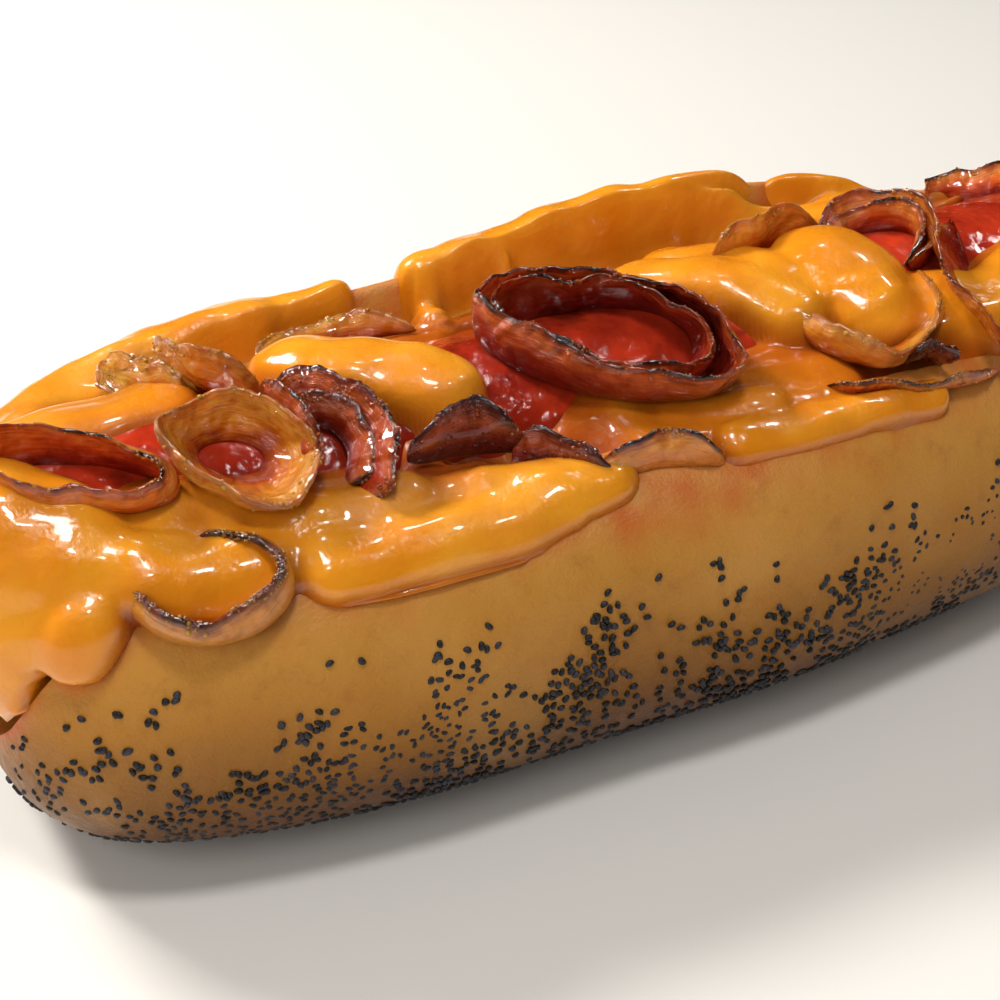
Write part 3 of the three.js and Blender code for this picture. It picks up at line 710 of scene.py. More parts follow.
def cheese_loops(core_rows, cap_rows, fan_columns, top_columns):
    """Rays go straight up between the two lips, fan out over each lip and fan out round
    both ends of the mound, from origins that draw together there. Each leaves the food at
    the cheese's level, found twice, the second time below the first surface. Below the
    edge the loop closes inside the sausage. Returns the loops and the level of each
    point."""
    tilt = np.concatenate([np.linspace(-90, 0, cap_rows, endpoint=False)[1:], np.zeros(core_rows),
                           np.linspace(90, 0, cap_rows, endpoint=False)[1:][::-1]])
    x = np.concatenate([np.full(cap_rows - 1, -MOUND_HALF_LENGTH),
                        np.linspace(-MOUND_HALF_LENGTH, MOUND_HALF_LENGTH, core_rows),
                        np.full(cap_rows - 1, MOUND_HALF_LENGTH)])
    fan = np.linspace(EDGE_DEGREES, 0, fan_columns, endpoint=False)
    angle = np.concatenate([-fan, np.zeros(top_columns), fan[::-1]])
    y = np.concatenate([np.full(fan_columns, FAN_START["near"]),
                        np.linspace(FAN_START["near"], FAN_START["far"], top_columns),
                        np.full(fan_columns, FAN_START["far"])])
    lean, turn = np.meshgrid(np.radians(tilt), np.radians(angle), indexing="ij")
    direction = np.stack([np.sin(lean), np.cos(lean) * np.sin(turn), np.cos(lean) * np.cos(turn)], -1)
    narrow = np.cos(lean[:, :1]) * (1 - END_FAN_SHRINK * (x[:, None] / MOUND_HALF_LENGTH) ** 4)
    origin = np.stack(np.broadcast_arrays(x[:, None], y[None] * narrow, AXIS_HEIGHT), -1)
    level = cheese_level(leave(origin, direction))
    first = leave(origin, direction, lambda q: level)
    level = np.where(level > HIDDEN_LEVEL, cheese_level(foot_point(first)), level)
    level = soften(level) + ripples(first, CHEESE_RIPPLES, 5)
    surface = leave(origin, direction, lambda q: level, start=EDGE_START)
    surface[:, [0, -1]] = (origin + direction * EDGE_START)[:, [0, -1]]
    inner = np.stack(np.broadcast_arrays(x[:, None], [INNER_Y], AXIS_HEIGHT - INNER_DEPTH), -1)
    deep_down = np.full(inner.shape[:2], -float(INNER_DEPTH))
    return np.concatenate([surface, inner], 1), np.concatenate([level, deep_down], 1)


CHEESE_GRID = ((246, 40, 56, 166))
cheese_grid, cheese_height = cheese_loops(*CHEESE_GRID)
print("cheese grid:", cheese_grid.shape)

# %% Cheese finish
def cheese_material():
    """Melted cheese: warm yellow where it is thick, orange and browner where it is thin, darker brown where
    juices have run into it and where painted shade darkens troughs, creases and hollows, milky below a
    glossy skin."""
    material, tree, shader = new_material("melted_cheese")
    place = object_place(tree)
    mottled = remap(tree, noise(tree, place, 90, 2), 0.35, 0.7)
    colour = blend(tree, mottled, srgb(220, 134, 22), srgb(236, 158, 38))
    # Browner where the cheese is thin: partly its own colour over the food, partly painted shade in the
    # troughs.
    thin = attribute(tree, "thin")
    colour = blend(tree, math(tree, "MULTIPLY", thin, 0.9), colour, srgb(182, 88, 16))
    # Darker brown round the onions, along the runs and in the hollows: partly stain from onion juices,
    # partly painted shade in those creases and recesses.
    juice = attribute(tree, "juice")
    juice_and_shade_streak = math(tree, "MULTIPLY", juice, remap(tree, noise(tree, place, 160, 3), 0.3, 0.7, 0.5, 1.0))
    colour = blend(tree, juice_and_shade_streak, colour, srgb(134, 50, 12))
    rough, height = wetness(tree, 60, 700, 0.16, 0.36)
    relief = math(tree, "ADD", height, math(tree, "MULTIPLY", noise(tree, place, 240, 3), 1.6))
    connect(tree, shader, Base_Color=colour, Roughness=rough, Normal=bump(tree, relief, 0.2, 0.0006),
            Subsurface_Weight=0.25, Subsurface_Radius=(1.0, 0.45, 0.1), Subsurface_Scale=0.002,
            Specular_IOR_Level=0.3, Coat_Weight=0.5, Coat_Roughness=0.06)
    return material


CHEESE = cheese_material()

# %% [markdown]
# An onion ring is a thin curved wall: cut across the bulb it gives bands that keep the
# bulb's curve. In the pan they sink, curl and go crisp at the rim. Each piece is the
# wall between a foot line on the food and a rim line above it. Both are arcs of an
# ellipse laid round the food, so a piece can be a ring, a half ring or a loose strip.

# %% The onion pieces
# A line is (x, w, long, wide): x runs along the bun and w round it, in millimetres from
# the top, then come the two half axes. Turn, start and sweep are degrees, and lift is the
# rim's height over the food. Each piece has its foot line, rim line, turn, start, sweep
# and lift.
ONION_LINES = {
    "onion_ring_big": ((1, -5, 14.5, 10), (0, -6, 14.5, 7), -36, 180, 360, 6),
    "onion_ring_front": ((-47, -9, 4, 3), (-47, -10, 8.2, 5.8), -31, 180, 360, 5),
    "onion_boat": ((-64, -7.5, 10.4, 3.6), (-65.5, -7, 10, 3), -27, 180, 360, 5.5),
    "onion_cup": ((-55, -22, 8, 3.6), (-56, -20, 7.4, 2.8), -2, 172, 270, 4),
    "onion_ring_top": ((45, -1, 7, 7), (43, -1, 8, 6.5), -20, 150, -215, 5),
    "onion_ring_right": ((36, -12, 10, 6), (35, -10, 9.5, 7.5), 17, 160, 190, 4.5),
    "onion_ring_back": ((-38, -12, 5, 6.5), (-40, -11, 10, 8.6), -16, 115, -160, 5.4),
    "onion_ring_middle": ((-53, -12, 13, 22.6), (-55, -12, 15.2, 19.1), -9, 38, -40, 6.5),
    "onion_curl_far": ((-49, 8, 4, 6.5), (-51, 8, 4.5, 7), 13, 150, -170, 5),
    "onion_strip_far": ((-41, 10, 3, 11), (-39, 7, 8.6, 9.8), 11, 126, 119, 6.6),
    "onion_strip_lip_far": ((-25, 14.5, 11, 3.5), (-26, 12.5, 10.5, 4), 2, 165, -150, 3.2),
    "onion_hood": ((-22, -19.5, 13.8, 2.5), (-24, -28, 12, 16.5), -8, 122, -66, 5.5),
    "onion_hood_tail": ((-24, -27, 21, 7.5), (-21, -30, 17.4, 15), 0, 74, -36, 3.6),
    "onion_lip_ring": ((-3, -24, 14, 1.8), (-3, -31, 13.5, 12.2), -2, 120, -68, 4.4),
    "onion_strip_lip": ((39, -16, 25, 6.2), (36, -19, 26, 2), -6, 238, 56, 2.6),
    "onion_knot_right": ((37, -21, 3.6, 1.9), (36, -21, 3.8, 3.3), -4, 140, -125, 4.7),
    "onion_strand_top": ((41, -14, 27, 25.4), (35, 1, 22.8, 2.5), 1, 131, -50, 6.4),
    "onion_drape_right": ((60, -7, 5.2, 14.4), (53, -12, 7.7, 10.8), -22, 143, 112, 6),
    "onion_end_far": ((66, 6, 6, 9), (66, 5, 6, 8), 20, 120, -190, 3.4),
}
ONION_PARTS = ("foot", "rim", "turn", "start", "sweep", "lift")
ONIONS = {name: dict(zip(ONION_PARTS, values)) for name, values in ONION_LINES.items()}
FOOT_LIFT = -0.8
WALL_COLUMNS = 40
INNER_LIFT = 0.25
END_DROP = 0.7
WALL_BOW = 0.1
# Height and wavelength of the rim's wander over the food and of its ragged edge, and of
# the folds in the wall, which also have where they begin and end on the way to the rim.
RIM_WANDER = (0.7, 12)
RIM_FRAY = [(0.3, 4.5), (0.12, 1.9)]
WALL_FOLDS = [(0.45, 8, 0.1, 0.7), (0.2, 3.4, 0.45, 1.0), (0.07, 1.3, 0.6, 1.0)]


def arc(line, onion, f, lift, scale):
    """Points of an onion's line: an arc of an ellipse in x and w, wrapped on the food."""
    a = np.radians(onion["start"] + onion["sweep"] * f)
    turn = np.radians(onion["turn"])
    u, v = scale * line[2] * np.cos(a), scale * line[3] * np.sin(a)
    x = line[0] + u * np.cos(turn) - v * np.sin(turn)
    w = line[1] + u * np.sin(turn) + v * np.cos(turn)
    return on_food(x, w / WRAP_RADIUS, lift)


def onion_wall(name, onion, rows, scale, thickness):
    """The wall of an onion piece. Along it runs f, round its section runs c: the way from
    foot to rim is v = (1 - cos c) / 2, and the half thickness, which shrinks towards the
    crisp rim, follows the square root of sin c, which rounds both edges. An inner layer
    has a scale below 1. Returns the loops and, for each point, the way from foot to rim,
    the millimetres to the rim and the length along the wall."""
    closed = abs(onion["sweep"]) == 360
    f = np.linspace(0, 1, rows, endpoint=not closed)
    open_end = 0 * f if closed else np.abs(2 * f - 1)
    lift = onion["lift"] * (INNER_LIFT + (1 - INNER_LIFT) * scale) * (1 - END_DROP * open_end**4)
    foot = arc(onion["foot"], onion, f, FOOT_LIFT, scale)
    rim = arc(onion["rim"], onion, f, lift, scale)
    seed = sum(map(ord, name)) + round(100 * scale)
    wander, length = RIM_WANDER
    rim = rim + wander * np.stack([ripple(rim, length, seed + i) for i in range(3)], -1)
    rise = rim - foot
    width = np.linalg.norm(rise, axis=-1, keepdims=True)
    rise = rise / width
    width = width + ripples(rim, RIM_FRAY, seed + 5)[:, None]
    middle = (foot + rim) / 2
    along = np.roll(middle, -1, 0) - np.roll(middle, 1, 0) if closed else np.gradient(middle, axis=0)
    along /= np.linalg.norm(along, axis=-1, keepdims=True)
    normal = np.cross(along, rise)
    normal /= np.linalg.norm(normal, axis=-1, keepdims=True)
    c = np.linspace(0, 2 * np.pi, WALL_COLUMNS, endpoint=False)
    v = (1 - np.cos(c)) / 2
    skin = np.sign(np.sin(c)) * np.abs(np.sin(c)) ** 0.5
    taper = np.sqrt(np.clip(1 - open_end**10, 0, 1))[:, None]
    half = thickness / 2 * (1 - 0.5 * v) * skin
    bow = WALL_BOW * width * np.sin(np.pi * v)
    way = width * (0.5 + (v - 0.5) * (0.4 + 0.6 * taper))
    outwards = normal[:, None] * (bow + half * taper)[..., None]
    loops = foot[:, None] + rise[:, None] * way[..., None] + outwards
    folds = sum(eased(v, height, low, high) * ripple(loops, length, seed + 8 + i)
                for i, (height, length, low, high) in enumerate(WALL_FOLDS))
    loops = loops + normal[:, None] * folds[..., None]
    length = np.cumsum(np.linalg.norm(np.diff(middle, axis=0, prepend=middle[:1]), axis=-1))
    shape = loops.shape[:2]
    return loops, np.broadcast_to(v, shape), width * (1 - v), np.broadcast_to(length[:, None], shape)


# %% Blisters on the onion's rims
BALL_RINGS = 5
BALL_SIDES = 6


def ball_shape(squeeze=0.0):
    """A small closed ball as points and triangles. A squeeze bends it to a kidney."""
    a = np.pi * np.arange(1, BALL_RINGS) / BALL_RINGS
    b = 2 * np.pi * np.arange(BALL_SIDES) / BALL_SIDES
    x = np.cos(a)[:, None] + 0 * b
    y = np.sin(a)[:, None] * np.cos(b) - squeeze * (1 - x**2)
    z = np.sin(a)[:, None] * np.sin(b)
    loops = np.stack([x, y, z], -1)
    points, quads, triangles, _ = skin_arrays(loops)
    points[-2:] = [[1, 0, 0], [-1, 0, 0]]
    return points, np.concatenate([quads[:, [0, 1, 2]], quads[:, [0, 2, 3]], triangles])


def scatter(shape, places, normals, turns, sizes):
    """Copies of a shape at places, each turned about its normal and scaled."""
    points, faces = shape
    helper = np.where(np.abs(normals[:, :1]) < 0.8, [[1.0, 0, 0]], [[0, 1.0, 0]])
    first = np.cross(normals, helper)
    first /= np.linalg.norm(first, axis=1, keepdims=True)
    second = np.cross(normals, first)
    long_way = first * np.cos(turns)[:, None] + second * np.sin(turns)[:, None]
    wide_way = np.cross(normals, long_way)
    axes = np.stack([long_way, wide_way, normals], 1) * sizes[:, :, None]
    copies = np.einsum("pk,nkx->npx", points, axes) + places[:, None]
    every = faces[None] + len(points) * np.arange(len(places))[:, None, None]
    return copies.reshape(-1, 3), every.reshape(-1, 3)


# Blisters: the usual half size and what a rare one has more, how its sides may vary, the
# margin in rows from a strip's ends, and the size of the clusters.
BLISTER_SIZE = (0.08, 0.17)
BLISTER_EXTRA = 0.16
BLISTER_SIDES = (0.8, 1.2)
BLISTER_MARGIN = 4
BLISTER_CLUSTER = 4


def blistered(wall, closed, seed, per_mm, lowest):
    """Arrays of one onion layer: its wall, and small blisters where frying has puffed it
    up above a lowest part of its width, in clusters."""
    loops, across, edge, along = wall
    points, quads, triangles, flat = skin_arrays(loops, closed, across=across, edge=edge, along=along)
    rng = np.random.default_rng(seed)
    count = int(per_mm * along.max())
    tries = 3 * count
    rows = rng.integers(BLISTER_MARGIN, len(loops) - BLISTER_MARGIN, tries)
    columns = rng.choice(np.flatnonzero(across[0] > lowest), tries)
    crowd = 0.5 + 0.8 * ripple(loops[rows, columns], BLISTER_CLUSTER, seed + 1)
    keep = np.flatnonzero(rng.random(tries) < crowd)[:count]
    rows, columns = rows[keep], columns[keep]
    size = rng.uniform(*BLISTER_SIZE, (len(keep), 1)) + BLISTER_EXTRA * rng.random((len(keep), 1)) ** 5
    size = size * rng.uniform(*BLISTER_SIDES, (len(keep), 3))
    shape = ball_shape()
    normals = grid_normals(loops, closed)[rows, columns]
    turns = rng.uniform(0, 6.3, len(keep))
    bead_points, bead_faces = scatter(shape, loops[rows, columns], normals, turns, size)
    each = len(shape[0])
    for key, values, shift in (("across", across, -0.1), ("edge", edge, 0.5), ("along", along, 0.0)):
        flat[key] = np.concatenate([flat[key], np.repeat(values[rows, columns] + shift, each)])
    triangles = np.concatenate([triangles, bead_faces + len(points)])
    return np.concatenate([points, bead_points]), quads, triangles, flat


def stacked(layers):
    """Several sets of arrays as one."""
    starts = np.cumsum([0] + [len(points) for points, _, _, _ in layers])
    points = np.concatenate([layer[0] for layer in layers])
    quads = np.concatenate([layer[1] + start for layer, start in zip(layers, starts)])
    triangles = np.concatenate([layer[2] + start for layer, start in zip(layers, starts)])
    flat = {key: np.concatenate([layer[3][key] for layer in layers]) for key in layers[0][3]}
    return points, quads, triangles, flat


# %% Onion finishes
def ramp(tree, value, stops):
    """A colour ramp from (position, colour) stops."""
    node = add_node(tree, "ShaderNodeValToRGB", Fac=value)
    elements = node.color_ramp.elements
    while len(elements) < len(stops):
        elements.new(0.5)
    for element, (position, colour) in zip(elements, stops):
        element.position = position
        element.color = colour
    return node.outputs[0]


def onion_material(name, stops, char, milky, clear):
    """Caramelised onion: colours from foot to rim, a little shifted by patches, streaked
    by fibres that run along the wall, with a thin uneven line of char at the rim. Glossy,
    partly milky and partly clear."""
    material, tree, shader = new_material(name)
    across = attribute(tree, "across")
    fibre_place = add_node(tree, "ShaderNodeCombineXYZ",
                           X=math(tree, "MULTIPLY", attribute(tree, "along"), 0.02),
                           Y=math(tree, "MULTIPLY", across, 1.6)).outputs[0]
    fibre = noise(tree, fibre_place, 9, 4, 0.6)
    place = object_place(tree)
    drift = math(tree, "MULTIPLY_ADD", noise(tree, place, 150, 3), 0.8, -0.4)
    fine = math(tree, "MULTIPLY_ADD", noise(tree, place, 900, 3), 0.2, -0.1)
    streaks = math(tree, "MULTIPLY_ADD", fibre, 0.5, -0.25)
    shift = math(tree, "ADD", math(tree, "ADD", drift, streaks), fine)
    colour = ramp(tree, math(tree, "ADD", across, shift), stops)
    burnt = remap(tree, attribute(tree, "edge"), 0.1, 0.75, 1.0, 0.0)
    uneven = remap(tree, noise(tree, place, 210, 2), 0.4, 0.6, 0.35, 1.0)
    burnt = math(tree, "MULTIPLY", math(tree, "MULTIPLY", burnt, uneven), char)
    colour = blend(tree, burnt, colour, srgb(24, 12, 10))
    rough, height = wetness(tree, 200, 1500, 0.05, 0.2)
    blisters = math(tree, "MULTIPLY", noise(tree, place, 430, 1), 3.0)
    relief = math(tree, "MULTIPLY_ADD", height, 0.4, math(tree, "MULTIPLY_ADD", fibre, 0.6, blisters))
    connect(tree, shader, Base_Color=colour, Roughness=rough, Normal=bump(tree, relief, 0.8, 0.0007),
            Subsurface_Weight=milky, Subsurface_Radius=(1.0, 0.4, 0.12), Subsurface_Scale=0.002,
            Transmission_Weight=clear, Specular_IOR_Level=0.3, Coat_Weight=0.9, Coat_Roughness=0.05)
    return material


# Colours at places from foot to rim, darker towards the foot as deeper caramel and as painted shade where
# the wall meets the food, then how much char, milky depth and clear depth.
AMBER = onion_material("amber_onion", [
    (0.0, srgb(140, 40, 10)), (0.25, srgb(196, 88, 18)), (0.5, srgb(224, 138, 36)),
    (0.8, srgb(228, 158, 62)), (1.0, srgb(200, 122, 46))], 0.35, 0.5, 0.25)
RUSSET = onion_material("russet_onion", [
    (0.0, srgb(110, 16, 8)), (0.3, srgb(168, 40, 16)), (0.55, srgb(214, 88, 28)),
    (0.8, srgb(226, 134, 52)), (1.0, srgb(176, 82, 34))], 1.0, 0.45, 0.2)
CHARRED = onion_material("charred_onion", [
    (0.0, srgb(62, 10, 8)), (0.35, srgb(112, 26, 14)), (0.6, srgb(150, 62, 26)),
    (0.85, srgb(96, 36, 20)), (1.0, srgb(56, 22, 16))], 1.0, 0.3, 0.05)
# A deeper red copy of the russet finish for rings whose insides lie in shadow: partly deep caramel, partly
# painted shade.
MAROON_SHADED = onion_material("shaded_maroon_onion", [
    (0.0, srgb(84, 12, 8)), (0.35, srgb(128, 24, 14)), (0.6, srgb(162, 50, 22)),
    (0.85, srgb(188, 88, 36)), (1.0, srgb(136, 54, 26))], 1.0, 0.4, 0.15)
SEARED = onion_material("seared_onion", [
    (0.0, srgb(168, 78, 20)), (0.4, srgb(214, 128, 36)), (0.75, srgb(224, 150, 58)),
    (1.0, srgb(150, 74, 34))], 1.0, 0.5, 0.2)
FINISHES = {
    "onion_ring_big": MAROON_SHADED, "onion_ring_back": MAROON_SHADED, "onion_boat": RUSSET, "onion_ring_top": RUSSET,
    "onion_ring_middle": MAROON_SHADED, "onion_hood": CHARRED, "onion_hood_tail": CHARRED,
    "onion_drape_right": RUSSET, "onion_end_far": RUSSET, "onion_knot_right": CHARRED,
    "onion_lip_ring": SEARED, "onion_cup": SEARED, "onion_strip_lip": RUSSET,
}
# Scales of the second, inner layer that some pieces have.
INNER_LAYERS = {"onion_ring_big": 0.84, "onion_ring_back": 0.74, "onion_ring_top": 0.8,
                "onion_curl_far": 0.7}
# Blisters a millimetre of rim and the lowest part of the width that they reach, and the
# thickness at the foot: the usual ones, and where a piece has its own.
USUAL_BUBBLES = (2.2, 0.84)
USUAL_THICKNESS = 1.2
RING_ROWS = 240
STRIP_ROWS = 160
BUBBLES = {"onion_hood": (18.0, 0.15), "onion_hood_tail": (16.0, 0.2), "onion_knot_right": (16.0, 0.3),
           "onion_cup": (9.0, 0.84), "onion_strip_lip": (9.0, 0.5), "onion_ring_back": (7.0, 0.7)}
THICKNESS = {"onion_ring_front": 2.2, "onion_cup": 1.9, "onion_curl_far": 1.7, "onion_ring_right": 1.6,
             "onion_ring_back": 1.6, "onion_ring_big": 1.4, "onion_strip_far": 1.6}

onion_feet = []
for name, onion in ONIONS.items():
    closed = abs(onion["sweep"]) == 360
    rows = (RING_ROWS if closed else STRIP_ROWS) // 1
    layers = []
    for scale in (1.0, INNER_LAYERS.get(name, 0)):
        if scale:
            wall = onion_wall(name, onion, rows, scale, THICKNESS.get(name, USUAL_THICKNESS))
            bubbles = BUBBLES.get(name, USUAL_BUBBLES)
            layers.append(blistered(wall, closed, sum(map(ord, name)), *bubbles))
            onion_feet.append(wall[0][::4, 0])
    dress(skin_mesh(name + "_layer", *stacked(layers)), FINISHES.get(name, AMBER), "onion", name)
onion_feet = np.concatenate(onion_feet)


# %% Juices and painted shade on the cheese
# Thin cheese is browner, partly painted shade in the troughs, and the far side gets less of this browning,
# which is painted light. Juices gather round the onions and in the hollows, and this darkening is also
# painted shade in those creases and recesses. Where they have run together, as darker runs of juices and
# painted shade: strength, half width and line of [x, y] seen from above.
JUICE_AND_SHADE_RUNS = [
    (0.95, 2.6, [[-8, 16.6], [4, 17.2], [16, 17.2], [28, 17.0], [42, 16.2]]),
    (0.55, 3.4, [[-54, -14], [-45, -16.5], [-34, -17], [-26, -17]]),
    (0.95, 3.6, [[-26, -16], [-18, -17], [-8, -17.5]]),
    (0.6, 3.6, [[-4, -15], [6, -16.5], [18, -17], [28, -17]]),
    (0.9, 3.0, [[26, -14], [34, -18], [42, -17]]),
    (0.7, 2.4, [[12, -14], [17, -10], [20, -5]]),
    (0.7, 4.0, [[-60, 12], [-50, 14], [-42, 16]]),
    (0.8, 3.0, [[-30, 17], [-20, 18], [-12, 18]]),
]
# Painted light: the far side is kept paler. Thin cheese is browner, partly painted shade.
far_side = smooth_step(cheese_grid[..., 1], 13, 19)
thin = (1 - smooth_step(cheese_height, -0.6, 1.9)) * (1 - 0.65 * far_side)


def stain(points, targets, strength, half):
    """A stain round some targets, which fades as a bell curve of the distance to them."""
    return strength * np.exp(-((nearest(points, targets) / half) ** 2))


# Painted shade and stain from juices: darker round the onions' feet.
juice = stain(cheese_grid, onion_feet, 0.9, 2.4)
for strength, half, line in JUICE_AND_SHADE_RUNS:
    juice = np.maximum(juice, stain(cheese_grid, above(*smooth_curve(line)), strength, half))
# Painted shade and pooled juices: darker where the cheese sinks into hollows, less so on the far side.
pooled_juices_and_shade = 0.5 * (1 - smooth_step(cheese_height, -2.6, 0.2)) * (1 - 0.8 * far_side)
juice = np.clip(juice + pooled_juices_and_shade, 0, 1)
cheese_mesh = skin_mesh("cheese_pour", *skin_arrays(cheese_grid, thin=thin, juice=juice))
dress(cheese_mesh, CHEESE, "cheese", "cheese_sauce")

# %% [markdown]
# The bun is one skin over the section formula. Its crust is golden, paler near the lip, partly its own
# colour and partly painted light, and dark brown low down, partly where it lay on the baking sheet and
# partly painted shade. Grease from the filling soaks into the bread along the edge of the cheese, so each
# point of the skin is told how far from a pour it lies, and one stain has run down below the lip.

# %% Bun mesh
def bun_loops(rows, half_columns):
    """Sections of the bun at x = half length times the sine of an even angle, which
    crowds them at the ends, each a loop up the near side and down the far side."""
    x = BUN_LENGTH / 2 * np.sin(np.linspace(-np.pi / 2, np.pi / 2, rows + 2)[1:-1])
    s = np.linspace(-1, 1, half_columns)
    t = np.pi / 2 * np.sign(s) * np.abs(s) ** 1.25
    near = bun_point(x[:, None], t[None, :], -1.0)
    far = bun_point(x[:, None], t[None, ::-1], 1.0)
    return np.concatenate([near, far[:, 1:-1]], 1)


BUN_GRID = ((400, 112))
# Height and wavelength of the crust's unevenness, and how far the skin shrinks for it.
CRUST_RIPPLES = [(0.25, 30), (0.05, 4), (0.03, 1.8)]
CRUST_SHRINK = 0.3
bun_grid = bun_loops(*BUN_GRID)
bun_normals = grid_normals(bun_grid)
bun_normals *= np.sign((bun_normals[..., 2] * (bun_grid[..., 2] - 10)).sum())
off_floor = smooth_step(bun_grid[..., 2], 0.5, 4)
swell = ripples(bun_grid, CRUST_RIPPLES, 21)
bun_grid = bun_grid + bun_normals * ((swell - CRUST_SHRINK) * off_floor)[..., None]

# %% Grease in the crust
GREASE_REACH = 3.0
STAIN_LINE = [[-9, -79], [-1, -80], [7, -79]]
STAIN_HALF_WIDTH = 4.2
grease = np.exp(np.minimum(cheese_level(bun_grid), 0) / GREASE_REACH)
grease = np.maximum(grease, stain(bun_grid, curve_on_food(STAIN_LINE), 1.0, STAIN_HALF_WIDTH))
grease = np.clip(grease * (0.75 + 0.35 * ripple(bun_grid, 6, 31)), 0, 1)
print("greasy share of the crust:", round(float((grease > 0.3).mean()), 3))


# %% Crust finish
def crust_material():
    """Baked crust: golden on the wall, paler near the lip, partly painted light, browner low down, partly
    baked colour and partly painted shade, stained orange by grease near the cheese, with fine wrinkles that
    run along the bun."""
    material, tree, shader = new_material("baked_crust")
    place = object_place(tree)
    height = add_node(tree, "ShaderNodeSeparateXYZ", Vector=place).outputs["Z"]
    wander = math(tree, "MULTIPLY_ADD", noise(tree, place, 35, 3), 0.014, -0.007)
    level = math(tree, "ADD", height, wander)
    # By height: dark low down and pale near the lip, painted shade below and painted light above on top of
    # the crust's own colour.
    colour = ramp(tree, math(tree, "MULTIPLY", level, 20), [
        (0.0, srgb(70, 38, 2)), (0.22, srgb(94, 56, 2)), (0.5, srgb(172, 115, 34)),
        (0.78, srgb(204, 149, 68)), (0.95, srgb(210, 158, 82))])
    speckle = remap(tree, noise(tree, place, 260, 5, 0.7), 0.5, 0.75, 0.0, 0.35)
    colour = blend(tree, speckle, colour, srgb(138, 82, 34))
    bloom = remap(tree, noise(tree, place, 55, 2), 0.5, 0.75, 0.0, 0.25)
    colour = blend(tree, bloom, colour, srgb(212, 160, 84))
    colour = blend(tree, math(tree, "MULTIPLY", attribute(tree, "grease"), 0.85), colour, srgb(190, 88, 24))
    rough, grain = wetness(tree, 40, 900, 0.34, 0.5)
    stretched = add_node(tree, "ShaderNodeMapping", Vector=place, Scale=(0.35, 1, 1)).outputs[0]
    wrinkles = noise(tree, stretched, 700, 3)
    relief = math(tree, "ADD", grain, math(tree, "ADD", noise(tree, place, 2600, 3), wrinkles))
    connect(tree, shader, Base_Color=colour, Roughness=rough, Normal=bump(tree, relief, 0.3, 0.0004),
            Subsurface_Weight=0.1, Subsurface_Radius=(1.0, 0.6, 0.3), Subsurface_Scale=0.0015,
            Specular_IOR_Level=0.3)
    return material


bun_mesh = skin_mesh("bun_crust_skin", *skin_arrays(bun_grid, grease=grease))
dress(bun_mesh, crust_material(), "bun_crust", "bun")


# %% [markdown]
# Poppy seeds are rolled onto the dough before baking, so they sit thick near the base
# and thin out up the wall, in clusters. Particles or instances would be lighter, but
# they don't survive an export. A few dozen faces a seed, copied with arrays into one
# mesh, does.

# %% Poppy seeds
SEED_COUNT = 3900
SEED_SPACING = 1.05
SEED_SINK = 0.3
SEED_HEIGHTS = (2.2, 30.2)
# Half length, half width and half height of a seed, each between two values.
SEED_SIZES = [(0.44, 0.58), (0.34, 0.44), (0.32, 0.4)]


def seed_places(count, seed):
    """Random places on the wall: heights from a steep law, accepted where a cluster
    pattern of slow waves is high, one to a cell so that they seldom pile up. Returns
    points and normals on the bun."""
    rng = np.random.default_rng(seed)
    tries = count * 12
    x = rng.uniform(-0.5, 0.5, tries) * (BUN_LENGTH - 2)
    side = np.where(rng.random(tries) < 0.5, -1.0, 1.0)
    lowest, highest = SEED_HEIGHTS
    z = lowest + (highest - lowest) * rng.random(tries) ** 1.4
    place = np.stack([x, side * 30, z], -1)
    cluster = 0.35 + 0.45 * ripple(place, 13, 41) + 0.4 * ripple(place, 4.2, 42) + 0.35 * (1 - z / 15)
    keep = np.flatnonzero(rng.random(tries) < cluster)
    first_in_cell = np.unique(np.floor(place[keep] / SEED_SPACING), axis=0, return_index=True)[1]
    keep = keep[np.sort(first_in_cell)[:count]]
    x, side, z = x[keep], side[keep], z[keep]
    half = half_height(x, side, z < WAIST_HEIGHT) * end_taper(x)[1]
    rise = np.clip((z - WAIST_HEIGHT) / np.maximum(half, 1), -0.92, 0.92)
    t = np.sign(rise) * np.arcsin(np.abs(rise) ** (SECTION_POWER / 2))
    p = bun_point(x, t, side)
    up = bun_point(x, t + 0.01, side) - bun_point(x, t - 0.01, side)
    along = bun_point(x + 0.02, t, side) - bun_point(x - 0.02, t, side)
    normal = np.cross(up, along)
    normal /= np.linalg.norm(normal, axis=1, keepdims=True)
    normal *= np.sign(normal[:, 1] * side)[:, None]
    return p - SEED_SINK * normal, normal, rng


def poppy_material():
    """Poppy seed: blue-black and dull, some of them greyer."""
    material, tree, shader = new_material("poppy_seed")
    place = object_place(tree)
    grey = remap(tree, noise(tree, place, 420, 1), 0.45, 0.65)
    colour = blend(tree, grey, srgb(15, 14, 17), srgb(48, 46, 54))
    pits = noise(tree, place, 5200, 2)
    connect(tree, shader, Base_Color=colour, Normal=bump(tree, pits, 0.4, 0.0002), Roughness=0.55)
    return material


places, normals, rng = seed_places(SEED_COUNT, 7)
sizes = np.stack([rng.uniform(*half, len(places)) for half in SEED_SIZES], -1)
turns = rng.uniform(0, 2 * np.pi, len(places))
seed_points, seed_faces = scatter(ball_shape(squeeze=0.25), places, normals, turns, sizes)
seed_mesh = fill_mesh("poppy_seeds", seed_points, np.zeros((0, 4), int), seed_faces)
dress(seed_mesh, poppy_material(), "bun_crust")


# %% [markdown]
# The sausage shows between the onions and at both ends. Its casing is tight and shiny,
# with small wrinkles and darker marks from the grill. The two ends are gathered to a
# point, which a few radial folds show.

# %% Sausage
SAUSAGE_GRID = (300, 120)
CASING_RIPPLE = (0.12, 5)
FOLD_DEPTH = 0.35
FOLD_COUNT = 9


